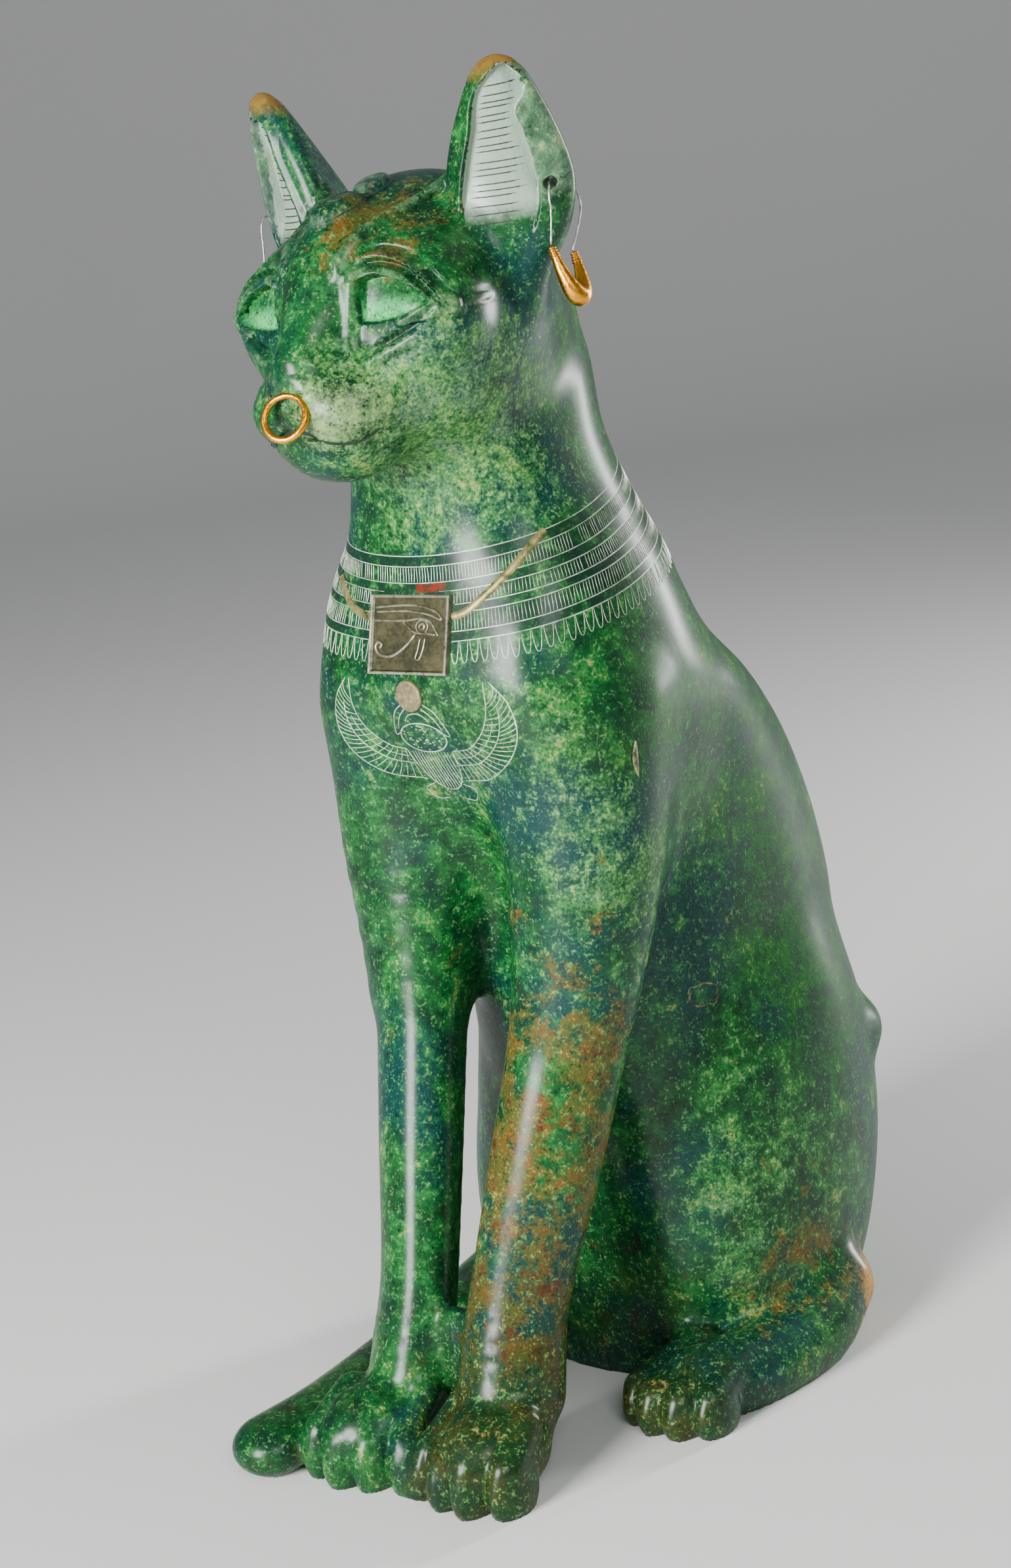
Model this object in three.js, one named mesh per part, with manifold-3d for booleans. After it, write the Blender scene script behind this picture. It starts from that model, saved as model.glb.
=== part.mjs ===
// A seated cat, cast in bronze, with a pierced nose and pierced ears, gold jewellery,
// a silver plaque and a small sun disc let into its chest.
// Millimetres, +Z up. The cat faces -Y and its left side is +X. The origin is on the midline at the
// height of the underside, below the shoulders.

import * as THREE from "three";
import { mergeVertices } from "three/addons/utils/BufferGeometryUtils.js";
import Module from "manifold-3d";

// Driving dimensions, in millimetres.
const figureHeight = 417.5;     // underside to ear tips
const fitGap = 0.3;             // left round every piece that is let in or hung

const noseRingRadius = 6.4;     // to the middle of the wire
const noseRingWire = 2.2;       // diameter of the wire
const noseRingLean = 24;        // degrees that the ring hangs forward of upright
const noseRingTurn = 19;        // degrees that the ring has turned towards the cat's left

const earHoleDiameter = 3.5;
const earringSpread = 10;       // between the two ends of the crescent
const earringDrop = 13.9;       // from its ends down to the middle of its body
const earringThick = 6;         // diameter of the body at its lowest point
const earringTip = 1.8;         // diameter at the two ends
const earringWire = 0.9;        // diameter of the wire that the earring hangs by

const plaqueWidth = 31;
const plaqueHeight = 23.8;
const plaqueThick = 2.6;
const plaqueProud = 1.1;        // how far its face stands out of the chest
const plaqueLean = 15.7;        // degrees that its top leans back
const plaqueRim = 1.1;          // width of the raised edge round its face
const plaqueRimRise = 0.5;

const discRadius = 4.9;
const discThick = 2.4;
const discProud = 1.1;

const triangleGoal = 7000;      // faces of the bronze after thinning

// The form of the cat is a field: negative inside the bronze, zero on its surface and about the
// distance outside it. Its numbers are millimetres on a figure of formHeight, and unit brings them
// to the figure's own height.
const formHeight = 417.5;
const below = 6;                // the form runs on this far below the underside, where it is cut level
const unit = figureHeight / formHeight;

// Torso sections from the floor to the skull: height, front, back and half width.
const torso = [
  [0, -18, 103, 46], [25, -18.5, 107, 50], [55, -20, 107, 52.5], [85, -22, 106, 53.5],
  [115, -25, 106, 52.5], [145, -29, 109, 50], [175, -34, 103.5, 47.5], [203, -47.5, 88, 49],
  [222, -58.5, 69.5, 52.5], [240, -63, 47.5, 53.5], [256, -59.5, 35.5, 53], [270, -56, 30, 50],
  [285, -54.5, 25.5, 43], [305, -55.5, 21.5, 35.5], [330, -52, 21, 31.5], [352, -48, 14, 28],
];
const torsoSquareness = 2.4;    // exponent of the sections: 2 is an ellipse

// Forelegs, down the middle of each leg, with the radius at each point.
const foreleg = [[33, -31, 195], [32.5, -33, 172], [30, -44, 132], [25, -59, 90], [20.3, -73, 52], [20.5, -82, 26]];
const forelegRadius = [20, 21, 18.5, 17, 15.5, 16.5];
const upperArm = [[34, -29, 225], [34.5, -32, 185], [32, -42, 140]];
const upperArmRadius = [24, 23, 15];
const legNarrow = { along: [-0.6428, 0.766, 0], share: 0.78 };

// Toes: middle x, tip y and radius. The right forepaw is turned a little, its outer toes forward.
const foreToes = [[5, -107, 4.6], [14, -111, 5.4], [24, -111.5, 5.8], [34.6, -107, 5.6]];
const rightPawTurn = 0.2;
const hindToes = [[36, -40.5, 5], [44.3, -44, 5.6], [53.5, -43.5, 5.9], [62, -38.5, 5.4]];
const hindFoot = [[57.5, 40, 16], [61.5, 19, 9.5], [58.5, -8, 8], [52, -27, 9]];
const hindFootRadius = [13.8, 13.5, 13, 13];

// The tail lies on the ground along the cat's right side.
const tail = [[4, 90, 32], [-27, 96, 24], [-53, 79, 15], [-65, 44, 10], [-65, -4, 7.5], [-58, -50, 7.5],
  [-51.5, -90, 8], [-52, -116, 8]];
const tailRadius = [22, 18, 14.5, 12.5, 11.5, 11.5, 12.5, 13];
const tailFlat = { along: [0, 0, 1], share: 0.7 };

// Eyes and brows, as heights over x on the left half of the face.
const eyeX = [15.8, 20, 26, 32, 37.5];
const eyeTop = [361.5, 362.3, 361.2, 358.3, 353.6];
const eyeLow = [349.2, 349, 349.4, 350.8, 353.2];
const lidX = [13, 19.5, 26, 32.5, 37.5, 41.5];
const lid = [363.2, 365, 363.8, 360.3, 355.2, 350.5];
const brow = [366.4, 367.6, 366.2, 362.6, 357.5, 352.5];
const cheekRidge = [[41, -66, 350.5], [36, -71, 347], [31.5, -75, 344], [26, -78.5, 341.5], [20, -81.5, 339]];
const cornerPad = [[41, -69, 352.2], [38.5, -71.5, 352.2], [34, -75, 350.2], [29, -78, 348.6]];
const tearRidge = [[13.4, -78.5, 366.5], [14.4, -80.5, 360], [14.3, -81.5, 353], [13.6, -82.5, 344.5]];
const foreheadRidge = [[26, -40, 386], [21, -49, 383], [15.4, -62.5, 377.5], [12.6, -74.5, 371.5], [10.3, -80, 366],
  [10.8, -81, 362]];
const mouth = [[0, -97, 322.5], [6.2, -94, 320.3], [10.1, -90, 318.4], [14.5, -86, 317.5], [18, -81, 318.1],
  [21.5, -76, 320.6]];

// The small beetle on the crown: middle and radii of its wing cases and of its head.
const crownBeetle = [
  { centre: [0, -65.5, 380.5], radii: [7, 9.5, 9], height: 2.2, edge: 0.45 },
  { centre: [0, -49.5, 386.5], radii: [5.5, 6, 9], height: 2, edge: 0.5 },
];

// Ears: s runs up the ear from its foot, w across it and t out of its face.
const earFoot = new THREE.Vector3(38, -36, 372);
const earAxis = new THREE.Vector3(0.134, -0.171, 0.976).normalize();
const earTurn = 25;             // degrees that the face of the ear is turned outwards
const earUp = [-32, -16, -2, 10, 24, 36, 43];
const earHalf = [4, 8.5, 16, 18.6, 15.6, 10.6, 7.2];
const earFront = [7, 9, 9, 8, 6.3, 5, 4.2];         // how deep the ear is before its middle
const earBack = [9, 14, 18, 15.5, 11, 7, 4.6];      // and behind it
const rimUp = [-2, 6, 15, 26, 38, 44];
const rim = [-9, -11, -9.6, -6.5, -3, 3];
const flapUp = [-3, 4, 9, 19, 26, 31, 34.5, 38, 44];
const flap = [8.5, 10.6, 11, 9.6, 8, 6.6, 8.8, 9.6, 4.5];
const earHole = { w: 14.6, s: 10.7 };

// Places on the form that the jewellery hangs from or lies on.
const septum = new THREE.Vector3(0, -95.4, 332.2);
const plaqueCentre = new THREE.Vector3(0, -59.2, 256);
const discCentre = new THREE.Vector3(0, -62.9, 238.3);
const discLean = 4;             // degrees that the disc's face looks down

const radians = THREE.MathUtils.degToRad;
const clamp = THREE.MathUtils.clamp;

function smoothMin(a, b, k) {
  const h = clamp(0.5 + 0.5 * (b - a) / k, 0, 1);
  return b + (a - b) * h - k * h * (1 - h);
}

const smoothMax = (a, b, k) => -smoothMin(-a, -b, k);

// 1 where e is well below zero, 0 where it is well above, with a soft edge of width w.
function step(e, w) {
  const t = clamp(0.5 - e / w, 0, 1);
  return t * t * (3 - 2 * t);
}

// A rounded bead of half width w along e = 0.
function bead(e, w) {
  const t = clamp(1 - Math.abs(e) / w, 0, 1);
  return t * t * (3 - 2 * t);
}

// A smooth curve through (xs, ys), level beyond its ends.
function curve(xs, ys) {
  const last = xs.length - 1;
  const slopes = ys.map((y, i) => {
    if (i === 0) return (ys[1] - y) / (xs[1] - xs[0]);
    if (i === last) return (y - ys[last - 1]) / (xs[last] - xs[last - 1]);
    const before = xs[i] - xs[i - 1];
    const after = xs[i + 1] - xs[i];
    const rise = before * before * ys[i + 1] + (after * after - before * before) * y - after * after * ys[i - 1];
    return rise / (before * after * (before + after));
  });
  return (value) => {
    const x = clamp(value, xs[0], xs[last]);
    let i = 0;
    while (i < last - 1 && x > xs[i + 1]) i += 1;
    const span = xs[i + 1] - xs[i];
    const t = (x - xs[i]) / span;
    const t2 = t * t;
    const t3 = t2 * t;
    return (2 * t3 - 3 * t2 + 1) * ys[i] + (t3 - 2 * t2 + t) * span * slopes[i]
      + (3 * t2 - 2 * t3) * ys[i + 1] + (t3 - t2) * span * slopes[i + 1];
  };
}

// Forms: each has a distance function and a ball that holds it, so that far ones can be passed over.
function ellipsoid(centre, radii, tiltX = 0) {
  const [cx, cy, cz] = centre;
  const [rx, ry, rz] = radii;
  const cos = Math.cos(radians(tiltX));
  const sin = Math.sin(radians(tiltX));
  const distance = (x, y, z) => {
    const dy = (y - cy) * cos + (z - cz) * sin;
    const dz = (z - cz) * cos - (y - cy) * sin;
    const a = (x - cx) / rx;
    const b = dy / ry;
    const c = dz / rz;
    const outer = Math.hypot(a, b, c);
    return outer * (outer - 1) / (Math.hypot(a / rx, b / ry, c / rz) + 1e-9);
  };
  return { distance, centre, reach: Math.max(rx, ry, rz) };
}

function roundedBlock(centre, radii, power) {
  const [cx, cy, cz] = centre;
  const [rx, ry, rz] = radii;
  const least = Math.min(rx, ry, rz) * 0.95;
  const distance = (x, y, z) => {
    const sum = Math.abs((x - cx) / rx) ** power + Math.abs((y - cy) / ry) ** power + Math.abs((z - cz) / rz) ** power;
    return (sum ** (1 / power) - 1) * least;
  };
  return { distance, centre, reach: Math.hypot(rx, ry, rz) };
}

// A run of cones along points, each end with its own radius; narrow squeezes it along one direction.
function taperedRun(points, radii, narrow) {
  const links = points.slice(1).map((end, i) => {
    const start = points[i];
    const way = end.map((value, axis) => value - start[axis]);
    return { start, way, square: way[0] ** 2 + way[1] ** 2 + way[2] ** 2, radius: radii[i], more: radii[i + 1] - radii[i] };
  });
  const box = new THREE.Box3().setFromPoints(points.map((point) => new THREE.Vector3(...point)));
  const ball = box.getBoundingSphere(new THREE.Sphere());
  const [nx, ny, nz] = narrow ? narrow.along : [0, 0, 0];
  const squeeze = narrow ? 1 / narrow.share - 1 : 0;
  const distance = (x, y, z) => {
    let nearest = Infinity;
    for (const { start, way, square, radius, more } of links) {
      const qx = x - start[0];
      const qy = y - start[1];
      const qz = z - start[2];
      const h = clamp((qx * way[0] + qy * way[1] + qz * way[2]) / square, 0, 1);
      let wx = qx - h * way[0];
      let wy = qy - h * way[1];
      let wz = qz - h * way[2];
      if (narrow) {
        const extra = (wx * nx + wy * ny + wz * nz) * squeeze;
        wx += extra * nx;
        wy += extra * ny;
        wz += extra * nz;
      }
      nearest = Math.min(nearest, Math.hypot(wx, wy, wz) - radius - more * h);
    }
    return nearest;
  };
  return { distance, centre: ball.center.toArray(), reach: ball.radius + Math.max(...radii) };
}

// A limb: a smooth tube through the points, cut into short cones.
function limb(points, radii, pieces, narrow) {
  const last = points.length - 1;
  const rows = points.map((point, i) => [...point, radii[i]]);
  const beyond = (a, b) => a.map((value, axis) => 2 * value - b[axis]);
  const all = [beyond(rows[0], rows[1]), ...rows, beyond(rows[last], rows[last - 1])];
  const smooth = [];
  for (let j = 0; j <= pieces; j += 1) {
    const u = last * j / pieces;
    const i = Math.min(Math.floor(u), last - 1);
    const t = u - i;
    const [a, b, c, d] = all.slice(i, i + 4);
    smooth.push(b.map((value, axis) => 0.5 * (2 * value + (c[axis] - a[axis]) * t
      + (2 * a[axis] - 5 * value + 4 * c[axis] - d[axis]) * t * t
      + (3 * value - a[axis] - 3 * c[axis] + d[axis]) * t * t * t)));
  }
  return taperedRun(smooth.map((row) => row.slice(0, 3)), smooth.map((row) => row[3]), narrow);
}

// Joins forms one after another, each with its own softness.
function join(first, ...others) {
  const near = (form, x, y, z) => {
    const [cx, cy, cz] = form.centre;
    return Math.hypot(x - cx, y - cy, z - cz) - form.reach;
  };
  const distance = (x, y, z) => {
    let d = first.distance(x, y, z);
    for (const [form, softness] of others) {
      if (near(form, x, y, z) < d + 2 * softness) d = smoothMin(d, form.distance(x, y, z), softness);
    }
    return d;
  };
  const reach = Math.max(first.reach, ...others.map(([form]) => {
    const [cx, cy, cz] = form.centre;
    const [ax, ay, az] = first.centre;
    return Math.hypot(cx - ax, cy - ay, cz - az) + form.reach;
  }));
  return { distance, centre: first.centre, reach };
}

function makeTorso() {
  const heights = torso.map((row) => row[0]);
  const [front, back, half] = [1, 2, 3].map((column) => curve(heights, torso.map((row) => row[column])));
  const top = heights[heights.length - 1];
  const distance = (x, y, z) => {
    const near = front(z);
    const far = back(z);
    const wide = half(z);
    const deep = (far - near) / 2;
    const u = Math.abs(x) / wide;
    const v = Math.abs(y - (near + far) / 2) / deep;
    const round = (u ** torsoSquareness + v ** torsoSquareness) ** (1 / torsoSquareness);
    return smoothMax((round - 1) * Math.min(wide, deep) * 0.9, z - top, 8);
  };
  return { distance, centre: [0, 25, 176], reach: 220 };
}

function makeForeleg() {
  return join(
    limb(foreleg, forelegRadius, 24, legNarrow),
    [limb(upperArm, upperArmRadius, 10), 8],
    [ellipsoid([41, -15.5, 178], [7.5, 8, 10]), 4],                           // elbow
  );
}

function makeForepaw() {
  const toes = foreToes.map(([x, y, radius]) => join(
    ellipsoid([x, y + 4, 7], [radius + 0.6, 10, 11.5]),
    [taperedRun([[x, y + 2, 14], [x * 0.85 + 3, -92, 22]], [radius, radius]), 2],
  ));
  return join(ellipsoid([21, -95, 13], [17, 20, 15]), ...toes.map((toe) => [toe, 1.5]));
}

function makeHindFoot() {
  const toes = hindToes.map(([x, y, radius]) => join(
    ellipsoid([x, y + 3, 6], [radius + 0.5, 10, 9.5]),
    [taperedRun([[x, y + 1, 11], [x * 0.8 + 10, -16, 15]], [radius, radius]), 2],
  ));
  return join(limb(hindFoot, hindFootRadius, 12), ...toes.map((toe) => [toe, 1.5]));
}

function makeHead() {
  return join(
    ellipsoid([0, -31, 351], [37.5, 43, 38]),
    [roundedBlock([0, -46, 351], [40, 33.5, 24], 3), 12],                     // face
    [ellipsoid([15, -47, 332], [20.5, 29, 23]), 12],                          // cheek and jaw
    [ellipsoid([29, -62, 350], [12.5, 12, 13]), 8],                           // cheekbone
    [taperedRun([[0, -66, 370], [0, -89.5, 340]], [9.5, 7.5]), 10],           // bridge of the nose
    [ellipsoid([6.5, -78.5, 326.5], [17.5, 18.5, 12.8]), 10],                 // whisker pads
    [ellipsoid([0, -74.5, 315], [16.5, 17, 10.5]), 8],                        // chin
  );
}

const earFace = new THREE.Vector3(Math.sin(radians(earTurn)), -Math.cos(radians(earTurn)), 0);
earFace.addScaledVector(earAxis, -earFace.dot(earAxis)).normalize();
const earSide = new THREE.Vector3().crossVectors(earFace, earAxis).normalize();
if (earSide.x < 0) earSide.negate();

function makeEar() {
  const half = curve(earUp, earHalf);
  const frontDepth = curve(earUp, earFront);
  const backDepth = curve(earUp, earBack);
  const rimLine = curve(rimUp, rim);
  const flapLine = curve(flapUp, flap);
  const distance = (x, y, z) => {
    const qx = x - earFoot.x;
    const qy = y - earFoot.y;
    const qz = z - earFoot.z;
    const s = qx * earAxis.x + qy * earAxis.y + qz * earAxis.z;
    const t = qx * earFace.x + qy * earFace.y + qz * earFace.z;
    const w = qx * earSide.x + qy * earSide.y + qz * earSide.z;
    const depth = frontDepth(s) + step(t, 4) * bead(w + 1, 16) * (backDepth(s) - frontDepth(s));
    const round = Math.sqrt((Math.abs(w - 2) / half(s)) ** 2.2 + (t / depth) ** 2);
    let d = smoothMax((round - 1) * depth * 0.9, s - 46.5, 7);
    d = smoothMax(d, -s - 26, 6);
    // the hollow is shallow by the front rim and deep under the outer flap, and runs out at the foot
    const a = rimLine(s);
    const b = flapLine(s);
    const share = clamp((w - a) / (b - a), 0, 1);
    const inside = step(Math.max(a - w, w - b, s - 43.5), 1.6);
    const sunk = (1.6 + 3.4 * share) * step(5 - s, 20) * clamp(0.45 + (44 - s) / 30, 0, 1);
    const ridge = bead(w - a + 1, 2.2) * step(Math.max(s - 44, 6 - s), 4);
    return d + step(-t - 0.5, 3) * (inside * sunk - 0.8 * ridge);
  };
  return { distance, centre: earFoot.toArray(), reach: 66 };
}

function distanceToPath(points) {
  return taperedRun(points, points.map(() => 0)).distance;
}

// The carving of the face, as a height to raise (or sink) the surface by.
function makeCarving() {
  const top = curve(eyeX, eyeTop);
  const low = curve(eyeX, eyeLow);
  const lidLine = curve(lidX, lid);
  const browLine = curve(lidX, brow);
  const toCheek = distanceToPath(cheekRidge);
  const toPad = distanceToPath(cornerPad);
  const toTear = distanceToPath(tearRidge);
  const toForehead = distanceToPath(foreheadRidge);
  const toMouth = distanceToPath(mouth);
  const toLip = distanceToPath([[0, -98, 331], [0, -97, 322.5]]);
  const toNose = distanceToPath([[0, -97, 335], [5, -95.5, 334.5]]);
  const toNostril = distanceToPath([[3.2, -98, 331], [6.5, -95, 332.8]]);
  const cheekLine = curve(cheekRidge.map((point) => point[0]).reverse(), cheekRidge.map((point) => point[2]).reverse());
  const eyeIn = eyeX[0];
  const eyeOut = eyeX[eyeX.length - 1];
  return (x, y, z) => {
    const [upper, lower, lidHeight, browHeight] = [top(x), low(x), lidLine(x), browLine(x)];
    // the eyeball is set back a little, more so under the upper lid
    const e = Math.max(z - upper, lower - z, eyeIn - x, x - eyeOut);
    const raised = clamp((z - lower) / (upper - lower + 1e-6), 0, 1);
    let h = -(1.1 + 1.3 * step(0.5 - raised, 0.4)) * step(e + 0.5, 1.3);
    h += 0.9 * step(Math.max(upper - 0.3 - z, z - lidHeight), 0.9) * step(Math.max(14 - x, x - 40), 2);
    const brows = 0.9 * bead(z - browHeight, 1.5) - 0.5 * bead(z - browHeight - 1.9, 1.4);
    h += step(Math.max(14.5 - x, x - 42), 2) * (brows - 0.6 * bead(z - lidHeight - 0.5, 1.1));
    h += step(toPad(x, y, z) - 1.1 - 1.5 * clamp((x - 29) / 11, 0, 1), 1.2);
    h -= bead(z - cheekLine(x) - 3.2, 2.4) * step(Math.max(21 - x, x - 38), 4);
    h *= step(y + 55, 10);
    h += 1.4 * bead(toCheek(x, y, z), 1.9);
    h += 0.9 * bead(toTear(x, y, z), 1.7);
    h += 1.9 * bead(toForehead(x, y, z), 2.6);
    for (const { centre: [cx, cy, cz], radii: [rx, ry, rz], height, edge } of crownBeetle) {
      h += height * step(Math.hypot((x - cx) / rx, (y - cy) / ry, (z - cz) / rz) - 1, edge);
    }
    h -= 1.3 * bead(toMouth(x, y, z), 1.5);
    h -= 0.7 * bead(toLip(x, y, z), 1.6);
    h += 0.6 * step(toNose(x, y, z) - 3, 2.5);
    h -= bead(toNostril(x, y, z), 1.6);
    return h;
  };
}

// The whole cat at one point; both sides share one form, but the tail lies on the right side only.
function makeCat() {
  const trunk = join(
    makeTorso(),
    [ellipsoid([27, 43, 65], [36, 58, 79], -10), 12],                         // haunch
    [ellipsoid([36, 30, 38], [20, 40, 46], 10), 16],                          // thigh
    [ellipsoid([44, 88, 88], [9, 10, 9]), 8],                                 // hip
    [ellipsoid([33, -18, 226], [20, 34, 46], 18), 16],                        // shoulder
    [makeForeleg(), 12],
    [makeHindFoot(), 8],
    [roundedBlock([0, -80, 34], [7, 5, 14.5], 3), 4],                         // web between the ankles
  );
  const paws = join(makeForepaw(), [ellipsoid([0, -104, 4], [9, 9.5, 12]), 3]);
  const tailForm = limb(tail, tailRadius, 20, tailFlat);
  const head = makeHead();
  const ear = makeEar();
  const carving = makeCarving();
  const pawTop = 60;
  const tailTop = 80;
  const headFoot = 270;
  const carved = 9;             // the carving changes nothing further than this from the surface
  return (x, y, z) => {
    const m = Math.abs(x);
    let d = trunk.distance(m, y, z);
    if (z < pawTop && y < -40) d = smoothMin(d, paws.distance(m, y + rightPawTurn * clamp(-x - 8, 0, 30), z), 5);
    if (z < tailTop) d = smoothMin(d, tailForm.distance(x, y, z), 3);
    if (z > headFoot) {
      d = smoothMin(d, head.distance(m, y, z), 10);
      d = smoothMin(d, ear.distance(m, y, z), 5);
      if (y < -40 && Math.abs(d) < carved) d -= carving(m, y, z);
    }
    return Math.max(d, -below - z);
  };
}

// Grid lines from spans of [start, end, spacing].
function gridLines(spans) {
  const lines = [spans[0][0]];
  for (const [start, end, spacing] of spans) {
    const count = Math.ceil((end - start) / spacing);
    for (let i = 1; i <= count; i += 1) lines.push(start + (end - start) * i / count);
  }
  return lines;
}

// The surface where a field is zero, as a closed mesh. Each cell of the grid is cut into six
// tetrahedra round its long diagonal; blocks of cells far from the surface are passed over.
function surfaceOf(field, xs, ys, zs) {
  const [nx, ny, nz] = [xs.length, ys.length, zs.length];
  const values = new Float32Array(nx * ny * nz).fill(NaN);
  const cut = new Int32Array(nx * ny * nz * 7).fill(-1);
  const positions = [];
  const faces = [];
  const nodeAt = (i, j, k) => i + nx * (j + ny * k);
  const valueAt = (i, j, k) => {
    const n = nodeAt(i, j, k);
    if (Number.isNaN(values[n])) {
      const value = field(xs[i], ys[j], zs[k]);
      values[n] = Math.abs(value) < 1e-4 ? 1e-4 : value;
    }
    return values[n];
  };
  // corner c of a cell is its lowest node moved by the bits of c; an edge always runs from its lower node
  const corner = (i, j, k, c) => [i + (c & 1), j + ((c >> 1) & 1), k + (c >> 2)];
  const vertexOn = (i, j, k, from, to) => {
    const a = corner(i, j, k, from);
    const b = corner(i, j, k, to);
    const edge = nodeAt(...a) * 7 + (to - from) - 1;
    if (cut[edge] < 0) {
      const va = valueAt(...a);
      const vb = valueAt(...b);
      const t = va / (va - vb);
      cut[edge] = positions.length / 3;
      positions.push(
        xs[a[0]] + (xs[b[0]] - xs[a[0]]) * t,
        ys[a[1]] + (ys[b[1]] - ys[a[1]]) * t,
        zs[a[2]] + (zs[b[2]] - zs[a[2]]) * t,
      );
    }
    return cut[edge];
  };
  const tetrahedra = [[1, 3], [3, 2], [2, 6], [6, 4], [4, 5], [5, 1]].map(([a, b]) => (a < b ? [0, a, b, 7] : [0, b, a, 7]));
  const turned = tetrahedra.map(([, a, b]) => {
    const [ax, ay, az] = corner(0, 0, 0, a);
    const [bx, by, bz] = corner(0, 0, 0, b);
    return (ay * bz - az * by) - (ax * bz - az * bx) + (ax * by - ay * bx) < 0;
  });
  const block = 4;
  const far = (i, j, k) => {
    const [i1, j1, k1] = [Math.min(i + block, nx - 1), Math.min(j + block, ny - 1), Math.min(k + block, nz - 1)];
    const half = Math.hypot(xs[i1] - xs[i], ys[j1] - ys[j], zs[k1] - zs[k]) / 2;
    return Math.abs(field((xs[i] + xs[i1]) / 2, (ys[j] + ys[j1]) / 2, (zs[k] + zs[k1]) / 2)) > half * 1.3 + 6;
  };
  const cutCell = (i, j, k) => {
    let inside = 0;
    for (let c = 0; c < 8; c += 1) if (valueAt(...corner(i, j, k, c)) < 0) inside |= 1 << c;
    if (inside === 0 || inside === 255) return;
    tetrahedra.forEach((tetrahedron, index) => {
      const within = tetrahedron.filter((c) => inside & (1 << c));
      const without = tetrahedron.filter((c) => !(inside & (1 << c)));
      if (within.length === 0 || without.length === 0) return;
      const on = (a, b) => (a < b ? vertexOn(i, j, k, a, b) : vertexOn(i, j, k, b, a));
      // the faces turn outwards when the order of within and without is an even one
      const order = [...within, ...without].map((c) => tetrahedron.indexOf(c));
      let swaps = 0;
      for (let a = 0; a < 4; a += 1) for (let b = a + 1; b < 4; b += 1) if (order[a] > order[b]) swaps += 1;
      const flip = (swaps % 2 === 1) !== turned[index];
      const add = (a, b, c) => faces.push(...(flip ? [a, c, b] : [a, b, c]));
      if (within.length === 1) {
        add(...without.map((c) => on(within[0], c)));
      } else if (within.length === 3) {
        const [a, b, c] = within.map((w) => on(w, without[0]));
        add(a, b, c);
      } else {
        const [a, b] = within;
        const [c, d] = without;
        add(on(a, c), on(a, d), on(b, d));
        add(on(a, c), on(b, d), on(b, c));
      }
    });
  };
  for (let k = 0; k < nz - 1; k += block) {
    for (let j = 0; j < ny - 1; j += block) {
      for (let i = 0; i < nx - 1; i += block) {
        if (far(i, j, k)) continue;
        for (let c = k; c < Math.min(k + block, nz - 1); c += 1) {
          for (let b = j; b < Math.min(j + block, ny - 1); b += 1) {
            for (let a = i; a < Math.min(i + block, nx - 1); a += 1) cutCell(a, b, c);
          }
        }
      }
    }
  }
  return { positions, faces };
}

// A heap of numbers, each with its cost, that gives back the cheapest first.
class Heap {
  constructor() {
    this.costs = [];
    this.numbers = [];
  }

  push(cost, number) {
    const { costs, numbers } = this;
    let i = costs.length;
    while (i > 0) {
      const parent = (i - 1) >> 1;
      if (costs[parent] <= cost) break;
      costs[i] = costs[parent];
      numbers[i] = numbers[parent];
      i = parent;
    }
    costs[i] = cost;
    numbers[i] = number;
  }

  pop() {
    const { costs, numbers } = this;
    const first = numbers[0];
    const cost = costs.pop();
    const number = numbers.pop();
    const size = costs.length;
    let i = 0;
    while (size > 0) {
      let child = 2 * i + 1;
      if (child >= size) break;
      if (child + 1 < size && costs[child + 1] < costs[child]) child += 1;
      if (costs[child] >= cost) break;
      costs[i] = costs[child];
      numbers[i] = numbers[child];
      i = child;
    }
    if (size > 0) {
      costs[i] = cost;
      numbers[i] = number;
    }
    return first;
  }
}

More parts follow.
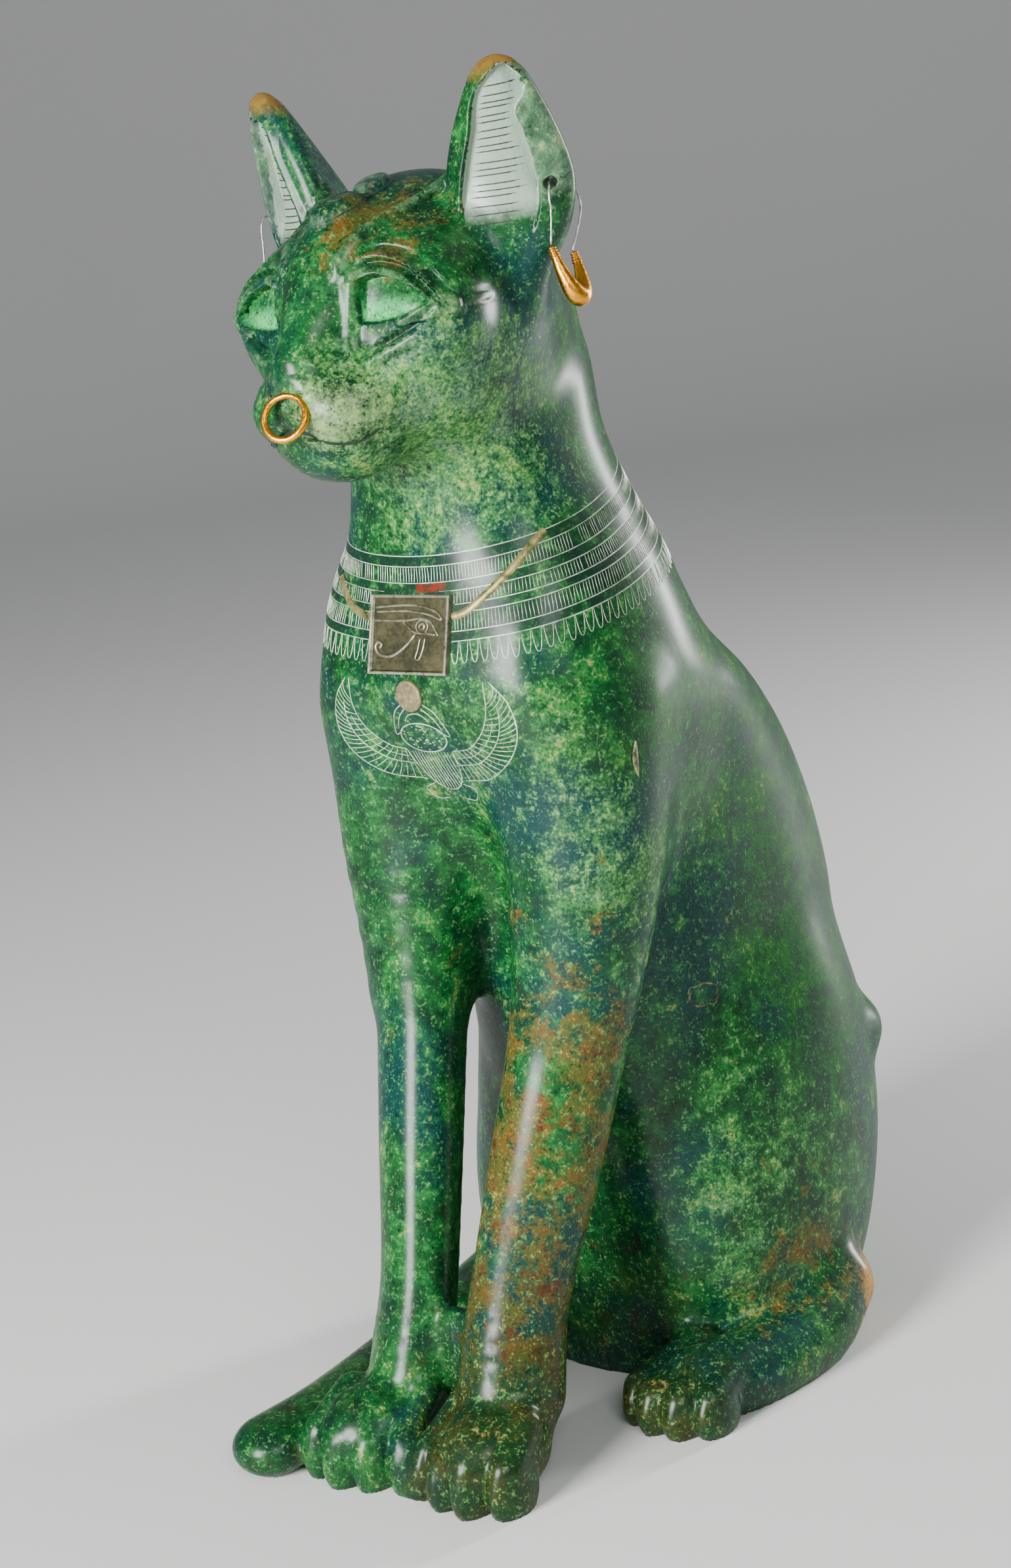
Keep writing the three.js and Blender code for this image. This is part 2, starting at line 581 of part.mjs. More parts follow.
// Thins a closed mesh to the wanted number of faces by joining the ends of edges, always the edge
// whose loss moves the surface least. importance says how much a place matters.
function thin({ positions, faces }, wanted, importance) {
  const place = Float64Array.from(positions);
  const count = place.length / 3;
  const corners = Int32Array.from(faces);
  const facesAt = Array.from({ length: count }, () => []);
  const quadrics = new Float64Array(count * 10);
  const changes = new Int32Array(count);
  const gone = new Uint8Array(corners.length / 3);
  const edgeStart = [];
  const edgeEnd = [];
  const edgeChanges = [];
  const heap = new Heap();
  let left = corners.length / 3;

  // the normal of the triangle a, b, c, as long as twice its area
  const normalOf = (ax, ay, az, bx, by, bz, cx, cy, cz) => {
    const [ux, uy, uz, vx, vy, vz] = [bx - ax, by - ay, bz - az, cx - ax, cy - ay, cz - az];
    return [uy * vz - uz * vy, uz * vx - ux * vz, ux * vy - uy * vx];
  };
  const addPlane = (v, nx, ny, nz, d, weight) => {
    const terms = [nx * nx, nx * ny, nx * nz, nx * d, ny * ny, ny * nz, ny * d, nz * nz, nz * d, d * d];
    for (let i = 0; i < 10; i += 1) quadrics[10 * v + i] += terms[i] * weight;
  };
  for (let f = 0; f < left; f += 1) {
    const [a, b, c] = corners.subarray(3 * f, 3 * f + 3);
    const at = place.subarray(3 * a, 3 * a + 3);
    const normal = normalOf(...at, ...place.subarray(3 * b, 3 * b + 3), ...place.subarray(3 * c, 3 * c + 3));
    const size = Math.hypot(...normal);
    for (const v of [a, b, c]) facesAt[v].push(f);
    if (size < 1e-12) continue;
    const [nx, ny, nz] = normal.map((value) => value / size);
    const weight = size * importance(...at);
    for (const v of [a, b, c]) addPlane(v, nx, ny, nz, -(nx * at[0] + ny * at[1] + nz * at[2]), weight);
  }
  // a faint pull of each vertex to its own place keeps flat stretches evenly divided
  const pull = 2e-4;
  for (let v = 0; v < count; v += 1) {
    addPlane(v, 1, 0, 0, -place[3 * v], pull);
    addPlane(v, 0, 1, 0, -place[3 * v + 1], pull);
    addPlane(v, 0, 0, 1, -place[3 * v + 2], pull);
  }

  // the cost of joining u and v, with the best place for the joined vertex left in spot
  const spot = [0, 0, 0];
  const joiningCost = (u, v) => {
    const [i, j] = [10 * u, 10 * v];
    const xx = quadrics[i] + quadrics[j];
    const xy = quadrics[i + 1] + quadrics[j + 1];
    const xz = quadrics[i + 2] + quadrics[j + 2];
    const xd = quadrics[i + 3] + quadrics[j + 3];
    const yy = quadrics[i + 4] + quadrics[j + 4];
    const yz = quadrics[i + 5] + quadrics[j + 5];
    const yd = quadrics[i + 6] + quadrics[j + 6];
    const zz = quadrics[i + 7] + quadrics[j + 7];
    const zd = quadrics[i + 8] + quadrics[j + 8];
    const dd = quadrics[i + 9] + quadrics[j + 9];
    const [ux, uy, uz] = [place[3 * u], place[3 * u + 1], place[3 * u + 2]];
    const [vx, vy, vz] = [place[3 * v], place[3 * v + 1], place[3 * v + 2]];
    let least = Infinity;
    const tryAt = (x, y, z) => {
      const cost = xx * x * x + yy * y * y + zz * z * z + dd
        + 2 * (xy * x * y + xz * x * z + yz * y * z + xd * x + yd * y + zd * z);
      if (cost >= least) return;
      least = cost;
      spot[0] = x;
      spot[1] = y;
      spot[2] = z;
    };
    const [mx, my, mz] = [(ux + vx) / 2, (uy + vy) / 2, (uz + vz) / 2];
    tryAt(mx, my, mz);
    const [a, b, c] = [yy * zz - yz * yz, xy * zz - yz * xz, xy * yz - yy * xz];
    const det = xx * a - xy * b + xz * c;
    if (Math.abs(det) > 1e-9) {
      const [e, f, g] = [yd * zz - yz * zd, yd * yz - yy * zd, xy * zd - yd * xz];
      const x = -(xd * a - xy * e + xz * f) / det;
      const y = -(xx * e - xd * b + xz * g) / det;
      const z = -(-xx * f - xy * g + xd * c) / det;
      if (Math.hypot(x - mx, y - my, z - mz) < Math.hypot(ux - vx, uy - vy, uz - vz)) tryAt(x, y, z);
    } else {
      tryAt(ux, uy, uz);
      tryAt(vx, vy, vz);
    }
    return Math.max(least, 0);
  };
  const offer = (u, v) => {
    heap.push(joiningCost(u, v), edgeStart.length);
    edgeStart.push(u);
    edgeEnd.push(v);
    edgeChanges.push(changes[u] + changes[v]);
  };
  for (let f = 0; f < left; f += 1) {
    for (let i = 0; i < 3; i += 1) {
      const [u, v] = [corners[3 * f + i], corners[3 * f + (i + 1) % 3]];
      if (u < v) offer(u, v);
    }
  }

  const neighbours = (v) => {
    const around = [];
    for (const f of facesAt[v]) {
      for (let i = 3 * f; i < 3 * f + 3; i += 1) {
        if (corners[i] !== v && !around.includes(corners[i])) around.push(corners[i]);
      }
    }
    return around;
  };
  // moving v to spot must not turn over any face that stays
  const staysSound = (v, other) => {
    for (const f of facesAt[v]) {
      const ids = corners.subarray(3 * f, 3 * f + 3);
      if (ids.includes(other)) continue;
      const before = [];
      const after = [];
      for (const id of ids) {
        for (let axis = 0; axis < 3; axis += 1) {
          before.push(place[3 * id + axis]);
          after.push(id === v ? spot[axis] : place[3 * id + axis]);
        }
      }
      const [ax, ay, az] = normalOf(...before);
      const [bx, by, bz] = normalOf(...after);
      const newSize = Math.hypot(bx, by, bz);
      const sizes = Math.hypot(ax, ay, az) * newSize;
      if (newSize < 1e-6 || (sizes > 1e-9 && ax * bx + ay * by + az * bz < 0.25 * sizes)) return false;
    }
    return true;
  };
  while (left > wanted && heap.costs.length > 0) {
    const edge = heap.pop();
    const [u, v] = [edgeStart[edge], edgeEnd[edge]];
    if (changes[u] + changes[v] !== edgeChanges[edge]) continue;
    const around = neighbours(u);
    const shared = neighbours(v).filter((w) => around.includes(w));
    if (shared.length !== 2) continue;
    joiningCost(u, v);
    if (!staysSound(u, v) || !staysSound(v, u)) continue;
    for (const f of facesAt[v]) {
      const ids = corners.subarray(3 * f, 3 * f + 3);
      if (ids.includes(u)) {
        gone[f] = 1;
        left -= 1;
      } else {
        ids[ids.indexOf(v)] = u;
        facesAt[u].push(f);
      }
    }
    for (const w of [u, ...shared]) facesAt[w] = facesAt[w].filter((f) => !gone[f]);
    place.set(spot, 3 * u);
    for (let i = 0; i < 10; i += 1) quadrics[10 * u + i] += quadrics[10 * v + i];
    changes[u] += 1;
    changes[v] = 1e9;
    for (const w of neighbours(u)) offer(u, w);
  }
  return { positions: place, faces: corners.filter((_, i) => !gone[Math.floor(i / 3)]) };
}

// A closed tube through points, with its own radius at each.
function tubeGeometry(points, radii, sides) {
  const last = points.length - 1;
  const vertices = [points[0], points[last]].flatMap((end) => end.toArray());
  const index = [];
  const normal = new THREE.Vector3(0.3, 1, 0.2);
  points.forEach((middle, i) => {
    const way = points[Math.min(i + 1, last)].clone().sub(points[Math.max(i - 1, 0)]).normalize();
    normal.addScaledVector(way, -normal.dot(way)).normalize();
    const across = new THREE.Vector3().crossVectors(way, normal);
    for (let j = 0; j < sides; j += 1) {
      const angle = 2 * Math.PI * j / sides;
      const out = normal.clone().multiplyScalar(Math.cos(angle)).addScaledVector(across, Math.sin(angle));
      vertices.push(...middle.clone().addScaledVector(out, radii[i]).toArray());
    }
  });
  for (let j = 0; j < sides; j += 1) {
    const next = (j + 1) % sides;
    for (let i = 0; i < last; i += 1) {
      const [a, b] = [2 + i * sides + j, 2 + i * sides + next];
      index.push(a, b, b + sides, a, b + sides, a + sides);
    }
    index.push(0, 2 + next, 2 + j);
    index.push(1, 2 + last * sides + j, 2 + last * sides + next);
  }
  const geometry = new THREE.BufferGeometry();
  geometry.setAttribute("position", new THREE.Float32BufferAttribute(vertices, 3));
  geometry.setIndex(index);
  return geometry;
}

const wasm = await Module();
wasm.setup();

function solidOf(geometry, matrix = new THREE.Matrix4()) {
  const bare = geometry.clone().applyMatrix4(matrix);
  bare.deleteAttribute("normal");
  bare.deleteAttribute("uv");
  const merged = mergeVertices(bare, 1e-4);
  return new wasm.Manifold(new wasm.Mesh({
    numProp: 3,
    vertProperties: new Float32Array(merged.attributes.position.array),
    triVerts: new Uint32Array(merged.index.array),
  }));
}

function geometryOf(solid) {
  const mesh = solid.getMesh();
  const geometry = new THREE.BufferGeometry();
  geometry.setAttribute("position", new THREE.BufferAttribute(new Float32Array(mesh.vertProperties), 3));
  geometry.setIndex(new THREE.BufferAttribute(new Uint32Array(mesh.triVerts), 1));
  geometry.computeVertexNormals();
  return geometry;
}

// Where each piece sits, as a matrix from its own axes.
function frameAt(origin, xAxis, yAxis) {
  const zAxis = new THREE.Vector3().crossVectors(xAxis, yAxis);
  return new THREE.Matrix4().makeBasis(xAxis, yAxis, zAxis).setPosition(origin);
}

// The nose ring hangs through the septum, its foot a little forward of its top.
const ringAcross = new THREE.Vector3(Math.cos(radians(noseRingTurn)), Math.sin(radians(noseRingTurn)), 0);
const ringForward = new THREE.Vector3(Math.sin(radians(noseRingTurn)), -Math.cos(radians(noseRingTurn)), 0);
const ringUp = new THREE.Vector3(0, 0, Math.cos(radians(noseRingLean)))
  .addScaledVector(ringForward, -Math.sin(radians(noseRingLean)));
const ringCentre = septum.clone().multiplyScalar(unit).addScaledVector(ringUp, -noseRingRadius);
const ringFrame = frameAt(ringCentre, ringAcross, ringUp);
const ringGeometry = (gap) => new THREE.TorusGeometry(noseRingRadius, noseRingWire / 2 + gap, 10, 28);

// The plaque leans back with the chest; its own Y runs up its face and its Z out of it.
const plaqueUp = new THREE.Vector3(0, Math.sin(radians(plaqueLean)), Math.cos(radians(plaqueLean)));
const plaqueFrame = frameAt(plaqueCentre.clone().multiplyScalar(unit), new THREE.Vector3(1, 0, 0), plaqueUp);
const slab = (width, height, back, front) => new THREE.BoxGeometry(width, height, front - back)
  .translate(0, 0, (front + back) / 2);

function makePlaque() {
  const plate = solidOf(slab(plaqueWidth, plaqueHeight, plaqueProud - plaqueThick, plaqueProud));
  const field = slab(plaqueWidth - 2 * plaqueRim, plaqueHeight - 2 * plaqueRim, plaqueProud - plaqueRimRise, plaqueProud + 1);
  return geometryOf(plate.subtract(solidOf(field)));
}

// The disc faces forward just below the plaque.
const discUp = new THREE.Vector3(0, -Math.sin(radians(discLean)), Math.cos(radians(discLean)));
const discFrame = frameAt(discCentre.clone().multiplyScalar(unit), new THREE.Vector3(1, 0, 0), discUp);
const discGeometry = (radius, back, front) => new THREE.CylinderGeometry(radius, radius, front - back, 24)
  .rotateX(Math.PI / 2).translate(0, 0, (front + back) / 2);

// A point given across, up and out of the left ear.
function onEar(w, s, t) {
  return earFoot.clone().multiplyScalar(unit).addScaledVector(earSide, w).addScaledVector(earAxis, s)
    .addScaledVector(earFace, t);
}

const earThickness = 15;        // a little more than the ear is thick at its hole
const earHoleCentre = onEar(earHole.w * unit, earHole.s * unit, 0);
const earHoleFrame = frameAt(earHoleCentre, earSide, earFace);
const earHoleGeometry = new THREE.CylinderGeometry(earHoleDiameter / 2, earHoleDiameter / 2, 2 * earThickness * unit, 16);

// An earring is a crescent, thick below and thin at its two ends, which face up.
const crescentTop = earHoleCentre.clone().add(new THREE.Vector3(3.4, -4.3, -19.8).multiplyScalar(unit));
const crescentSide = new THREE.Vector3(0, 0.97, -0.24).normalize();
const crescentDown = new THREE.Vector3(0.345, -0.065, -0.936).normalize();

function crescentAt(turn) {
  return crescentTop.clone().addScaledVector(crescentSide, -Math.cos(turn) * earringSpread / 2)
    .addScaledVector(crescentDown, Math.sin(turn) * earringDrop);
}

function makeEarring() {
  const steps = 14;
  const turns = Array.from({ length: steps + 1 }, (_, i) => Math.PI * i / steps);
  const radii = turns.map((turn) => earringTip / 2 + (earringThick - earringTip) / 2 * Math.sin(turn) ** 1.2);
  return tubeGeometry(turns.map(crescentAt), radii, 10);
}

// The wire runs from one end of the crescent up through the ear and down behind it to the other end.
function makeEarringWire() {
  const clear = fitGap + earringWire / 2;
  const out = 7.6;
  const stops = [
    crescentAt(0).addScaledVector(crescentDown, -clear),
    onEar(14.9 * unit, 3 * unit, 10.5 * unit),
    onEar(earHole.w * unit, earHole.s * unit, out * unit),
    earHoleCentre,
    onEar(earHole.w * unit, earHole.s * unit, -out * unit),
    onEar(20.4 * unit, 2.5 * unit, -4 * unit),
    crescentAt(Math.PI).addScaledVector(crescentDown, -clear),
  ];
  const points = new THREE.CatmullRomCurve3(stops, false, "centripetal").getPoints(24);
  return tubeGeometry(points, points.map(() => earringWire / 2), 6);
}

function mirrored(geometry) {
  const copy = geometry.clone().scale(-1, 1, 1);
  const index = Array.from(copy.index.array);
  for (let i = 0; i < index.length; i += 3) [index[i], index[i + 1]] = [index[i + 1], index[i]];
  copy.setIndex(index);
  return copy;
}

// The bronze: the form, thinned to flat faces, with its underside cut level and everything let in.
function makeBronze() {
  // the tail reaches furthest to the side, forward and back, and the ears highest; the grid takes them in
  const wide = Math.max(...tail.map(([x], i) => Math.abs(x) + tailRadius[i]));
  const ahead = Math.max(...tail.map(([, y], i) => tailRadius[i] - y));
  const behind = Math.max(...tail.map(([, y], i) => tailRadius[i] + y));
  const high = earFoot.z + earUp.at(-1);
  const xs = gridLines([[-1.24 * wide, -0.81 * wide, 4.5], [-0.81 * wide, 0.81 * wide, 2.1],
    [0.81 * wide, 1.13 * wide, 4]]);
  const ys = gridLines([[-1.05 * ahead, -0.453 * ahead, 1.9], [-0.453 * ahead, -0.107 * ahead, 2.4],
    [-0.107 * ahead, 1.07 * behind, 4.6]]);
  const zs = gridLines([[-below - 2, 0.0624 * high, 2.4], [0.0624 * high, 0.694 * high, 4.8],
    [0.694 * high, 0.94 * high, 1.9], [0.94 * high, 1.018 * high, 2.3]]);
  const faceShare = 6;          // the face, ears and toes keep more faces than the smooth body
  const importance = (x, y, z) => {
    if (z > 300) return y < -45 ? faceShare : 2;
    return z < 28 && y < -20 ? 2 : 1;
  };
  const { positions, faces } = thin(surfaceOf(makeCat(), xs, ys, zs), triangleGoal, importance);
  const geometry = new THREE.BufferGeometry();
  geometry.setAttribute("position", new THREE.BufferAttribute(new Float32Array(positions), 3));
  geometry.setIndex(new THREE.BufferAttribute(new Uint32Array(faces), 1));
  geometry.computeVertexNormals();
  const floorSize = figureHeight;
  const floor = new THREE.BoxGeometry(floorSize, floorSize, floorSize).translate(0, 0, -floorSize / 2);
  const mirror = new THREE.Matrix4().makeScale(-1, 1, 1);
  const hole = solidOf(earHoleGeometry, earHoleFrame);
  const plaquePocket = slab(plaqueWidth + 2 * fitGap, plaqueHeight + 2 * fitGap, plaqueProud - plaqueThick - fitGap,
    plaqueProud + plaqueThick + 3);
  const discPocket = discGeometry(discRadius + fitGap, discProud - discThick - fitGap, discProud + discThick + 3);
  const cuts = [
    solidOf(floor),
    hole,
    hole.transform(mirror.elements),
    solidOf(ringGeometry(fitGap), ringFrame),
    solidOf(plaquePocket, plaqueFrame),
    solidOf(discPocket, discFrame),
  ];
  let bronze = solidOf(geometry, new THREE.Matrix4().makeScale(unit, unit, unit));
  for (const cut of cuts) bronze = bronze.subtract(cut);
  return geometryOf(bronze);
}

const bronzeMaterial = { color: 0x2f5a45, roughness: 0.38, metalness: 0.75 };
const goldMaterial = { color: 0xd9a13a, roughness: 0.3, metalness: 1 };
const silverMaterial = { color: 0x8d8a78, roughness: 0.42, metalness: 0.9 };
const wireMaterial = { color: 0xc9c4b4, roughness: 0.35, metalness: 1 };
const discMaterial = { color: 0x9a8f6d, roughness: 0.4, metalness: 0.85 };

const cat = new THREE.Group();

function addPiece(name, geometry, look, frame = new THREE.Matrix4()) {
  const mesh = new THREE.Mesh(geometry, new THREE.MeshStandardMaterial(look));
  mesh.name = name;
  frame.decompose(mesh.position, mesh.quaternion, mesh.scale);
  cat.add(mesh);
}

addPiece("cat_figure", makeBronze(), bronzeMaterial);
addPiece("nose_ring", ringGeometry(0), goldMaterial, ringFrame);
addPiece("wedjat_plaque", makePlaque(), silverMaterial, plaqueFrame);
addPiece("sun_disc", discGeometry(discRadius, discProud - discThick, discProud), discMaterial, discFrame);
addPiece("left_earring", makeEarring(), goldMaterial);
addPiece("right_earring", mirrored(makeEarring()), goldMaterial);
addPiece("left_earring_wire", makeEarringWire(), wireMaterial);
addPiece("right_earring_wire", mirrored(makeEarringWire()), wireMaterial);

export default cat;
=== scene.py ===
# A seated cat in patinated bronze, with gold rings in its nose and ears, a silver plaque and a small
# disc on its chest. Metres, +Z up; the cat faces -Y and its left side is +X.
import math

import bpy
import numpy as np
from mathutils import Matrix, Vector


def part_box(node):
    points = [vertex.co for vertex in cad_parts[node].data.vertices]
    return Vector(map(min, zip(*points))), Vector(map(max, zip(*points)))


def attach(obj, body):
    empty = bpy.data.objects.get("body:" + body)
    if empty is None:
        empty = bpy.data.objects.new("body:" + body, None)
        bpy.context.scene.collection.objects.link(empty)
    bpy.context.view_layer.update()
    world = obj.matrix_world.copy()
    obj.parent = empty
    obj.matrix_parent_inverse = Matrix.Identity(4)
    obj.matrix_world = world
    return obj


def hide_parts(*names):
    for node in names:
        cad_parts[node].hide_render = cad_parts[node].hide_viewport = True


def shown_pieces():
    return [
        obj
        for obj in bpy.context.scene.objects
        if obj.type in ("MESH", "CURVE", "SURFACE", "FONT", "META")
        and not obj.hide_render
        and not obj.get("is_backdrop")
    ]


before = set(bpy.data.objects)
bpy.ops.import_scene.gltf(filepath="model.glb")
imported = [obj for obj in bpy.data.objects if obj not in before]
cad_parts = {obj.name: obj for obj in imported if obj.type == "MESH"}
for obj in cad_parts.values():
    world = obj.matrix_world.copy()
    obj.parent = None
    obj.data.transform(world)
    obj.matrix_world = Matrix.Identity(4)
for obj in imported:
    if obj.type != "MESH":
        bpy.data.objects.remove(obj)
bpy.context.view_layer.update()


# The cat is one hollow bronze casting, smoothed and polished by hand before it went green. Its form is
# a field over points in millimetres: negative inside, zero on the surface. Torso sections, tapered
# limbs and egg shapes run softly into each other, and the left half is mirrored, but for the tail.
form_height = 416.9
cat_low, cat_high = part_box("cat_figure")
unit = (cat_high[2] - cat_low[2]) / form_height

torso = np.array([
    [0, -18, 103, 46], [25, -18.5, 107, 50], [55, -20, 107, 52.5], [85, -22, 106, 53.5],
    [115, -25, 106, 52.5], [145, -29, 109, 50], [175, -34, 103.5, 47.5], [203, -47.5, 88, 49],
    [222, -58.5, 69.5, 52.5], [240, -63, 47.5, 53.5], [256, -59.5, 35.5, 53], [270, -56, 30, 50],
    [285, -54.5, 25.5, 43], [305, -55.5, 21.5, 35.5], [330, -52, 21, 31.5], [352, -48, 14, 28],
], float)
torso_squareness = 2.4
foreleg = [[33, -31, 195], [32.5, -33, 172], [30, -44, 132], [25, -59, 90], [20.3, -73, 52], [20.5, -82, 26]]
foreleg_radius = [20, 21, 18.5, 17, 15.5, 16.5]
upper_arm = [[34, -29, 225], [34.5, -32, 185], [32, -42, 140]]
upper_arm_radius = [24, 23, 15]
leg_narrow = ((-0.6428, 0.766, 0), 0.78)
fore_toes = [[5, -107, 4.6], [14, -111, 5.4], [24, -111.5, 5.8], [34.6, -107, 5.6]]
right_paw_turn = 0.2
hind_toes = [[36, -40.5, 5], [44.3, -44, 5.6], [53.5, -43.5, 5.9], [62, -38.5, 5.4]]
hind_foot = [[57.5, 40, 16], [61.5, 19, 9.5], [58.5, -8, 8], [52, -27, 9]]
hind_foot_radius = [13.8, 13.5, 13, 13]
tail = [[4, 90, 32], [-27, 96, 24], [-53, 79, 15], [-65, 44, 10], [-65, -4, 7.5], [-58, -50, 7.5],
        [-51.5, -90, 8], [-52, -116, 8]]
tail_radius = [22, 18, 14.5, 12.5, 11.5, 11.5, 12.5, 13]
tail_flat = ((0, 0, 1), 0.7)
eye_x = [15.8, 20, 26, 32, 37.5]
eye_top = [361.5, 362.3, 361.2, 358.3, 353.6]
eye_low = [349.2, 349, 349.4, 350.8, 353.2]
lid_x = [13, 19.5, 26, 32.5, 37.5, 41.5]
lid = [363.2, 365, 363.8, 360.3, 355.2, 350.5]
brow = [366.4, 367.6, 366.2, 362.6, 357.5, 352.5]
cheek_ridge = [[41, -66, 350.5], [36, -71, 347], [31.5, -75, 344], [26, -78.5, 341.5], [20, -81.5, 339]]
corner_pad = [[41, -69, 352.2], [38.5, -71.5, 352.2], [34, -75, 350.2], [29, -78, 348.6]]
tear_ridge = [[13.4, -78.5, 366.5], [14.4, -80.5, 360], [14.3, -81.5, 353], [13.6, -82.5, 344.5]]
forehead_ridge = [[26, -40, 386], [21, -49, 383], [15.4, -62.5, 377.5], [12.6, -74.5, 371.5],
                  [10.3, -80, 366], [10.8, -81, 362]]
mouth = [[0, -97, 322.5], [6.2, -94, 320.3], [10.1, -90, 318.4], [14.5, -86, 317.5], [18, -81, 318.1],
         [21.5, -76, 320.6]]
crown_beetle = [([0, -65.5, 380.5], [7, 9.5, 9], 2.7, 0.4), ([0, -49.5, 386.5], [5.5, 6, 9], 2.4, 0.45)]
ear_foot = np.array([38.0, -36, 372])
ear_axis = np.array([0.134, -0.171, 0.976])
ear_axis /= np.linalg.norm(ear_axis)
ear_turn = math.radians(25)
ear_face = np.array([math.sin(ear_turn), -math.cos(ear_turn), 0])
ear_face -= ear_axis * (ear_face @ ear_axis)
ear_face /= np.linalg.norm(ear_face)
ear_side = np.cross(ear_axis, ear_face)
ear_up = [-32, -16, -2, 10, 24, 36, 43]
ear_half = [4, 8.5, 16, 18.6, 15.6, 10.6, 7.2]
ear_front, ear_back = [7, 9, 9, 8, 6.3, 5, 4.2], [9, 14, 18, 15.5, 11, 7, 4.6]
rim_up, rim = [-2, 6, 15, 26, 38, 44], [-9, -11, -9.6, -6.5, -3, 3]
flap_up, flap = [-3, 4, 9, 19, 26, 31, 34.5, 38, 44], [8.5, 10.6, 11, 9.6, 8, 6.6, 8.8, 9.6, 4.5]
ear_hole = (14.6, 10.7, 1.75)


def smooth_min(a, b, k):
    h = np.clip(0.5 + 0.5 * (b - a) / k, 0, 1)
    return b + (a - b) * h - k * h * (1 - h)


def smooth_max(a, b, k):
    return -smooth_min(-a, -b, k)


def soft_step(e, w):
    t = np.clip(0.5 - e / w, 0, 1)
    return t * t * (3 - 2 * t)


def bead(e, w):
    t = np.clip(1 - np.abs(e) / w, 0, 1)
    return t * t * (3 - 2 * t)


def through(xs, ys, x):
    """A smooth curve through (xs, ys), level beyond its ends."""
    xs, ys = np.array(xs, float), np.array(ys, float)
    slopes = np.gradient(ys, xs)
    x = np.clip(x, xs[0], xs[-1])
    i = np.clip(np.searchsorted(xs, x) - 1, 0, len(xs) - 2)
    span = xs[i + 1] - xs[i]
    t = (x - xs[i]) / span
    return ((2 * t**3 - 3 * t**2 + 1) * ys[i] + (t**3 - 2 * t**2 + t) * span * slopes[i]
            + (3 * t**2 - 2 * t**3) * ys[i + 1] + (t**3 - t**2) * span * slopes[i + 1])


class Form:
    """A distance function and the ball that holds it, so that points far from it can be passed over."""

    def __init__(self, distance, centre, reach):
        self.distance, self.centre, self.reach = distance, np.array(centre, float), reach


def egg(centre, radii, tilt=0):
    centre, radii, angle = np.array(centre, float), np.array(radii, float), math.radians(tilt)
    cos, sin = math.cos(angle), math.sin(angle)

    def distance(p):
        x, y, z = (p - centre).T
        q = np.stack([x, y * cos + z * sin, z * cos - y * sin], -1) / radii
        outer = np.linalg.norm(q, axis=1)
        return outer * (outer - 1) / (np.linalg.norm(q / radii, axis=1) + 1e-9)

    return Form(distance, centre, radii.max())


def rounded_block(centre, radii, power):
    centre, radii = np.array(centre, float), np.array(radii, float)

    def distance(p):
        q = np.abs(p - centre) / radii
        return ((q**power).sum(1)**(1 / power) - 1) * radii.min() * 0.95

    return Form(distance, centre, np.linalg.norm(radii))


def tapered_run(points, radii, narrow=None):
    points, radii = np.array(points, float), np.array(radii, float)
    middle = (points.min(0) + points.max(0)) / 2

    def distance(p):
        nearest = np.full(len(p), np.inf)
        for start, end, r0, r1 in zip(points, points[1:], radii, radii[1:]):
            way = end - start
            q = p - start
            h = np.clip(q @ way / (way @ way), 0, 1)
            w = q - h[:, None] * way
            if narrow:
                along = np.array(narrow[0], float)
                w = w + np.outer(w @ along * (1 / narrow[1] - 1), along)
            nearest = np.minimum(nearest, np.linalg.norm(w, axis=1) - r0 - (r1 - r0) * h)
        return nearest

    return Form(distance, middle, np.linalg.norm(points - middle, axis=1).max() + radii.max())


def limb(points, radii, pieces, narrow=None):
    rows = np.column_stack([points, radii])
    rows = np.vstack([2 * rows[0] - rows[1], rows, 2 * rows[-1] - rows[-2]])
    u = np.linspace(0, len(points) - 1, pieces + 1)
    i = np.clip(np.floor(u).astype(int), 0, len(points) - 2)
    t = (u - i)[:, None]
    a, b, c, d = rows[i], rows[i + 1], rows[i + 2], rows[i + 3]
    smooth = 0.5 * (2 * b + (c - a) * t + (2 * a - 5 * b + 4 * c - d) * t**2 + (3 * b - a - 3 * c + d) * t**3)
    return tapered_run(smooth[:, :3], smooth[:, 3], narrow)


def join(first, *others):
    def distance(p):
        d = first.distance(p)
        for form, softness in others:
            near = np.linalg.norm(p - form.centre, axis=1) - form.reach < d + 2 * softness
            if near.any():
                d[near] = smooth_min(d[near], form.distance(p[near]), softness)
        return d

    reach = max(np.linalg.norm(form.centre - first.centre) + form.reach for form, _ in others)
    return Form(distance, first.centre, max(reach, first.reach))


def torso_distance(p):
    x, y, z = p.T
    front, back, half = (through(torso[:, 0], torso[:, i], z) for i in (1, 2, 3))
    deep = (back - front) / 2
    u, v = np.abs(x) / half, np.abs(y - (front + back) / 2) / deep
    around = (u**torso_squareness + v**torso_squareness)**(1 / torso_squareness)
    return smooth_max((around - 1) * np.minimum(half, deep) * 0.9, z - torso[-1, 0], 8)


def toes(places, rise, size, tip_lift, root):
    shapes = []
    for x, y, radius in places:
        ball = egg([x, y + size[0], size[1]], [radius + size[2], 10, size[3]])
        ridge = tapered_run([[x, y + tip_lift[0], tip_lift[1]], root(x)], [radius, radius])
        shapes.append((join(ball, (ridge, 2)), rise))
    return shapes


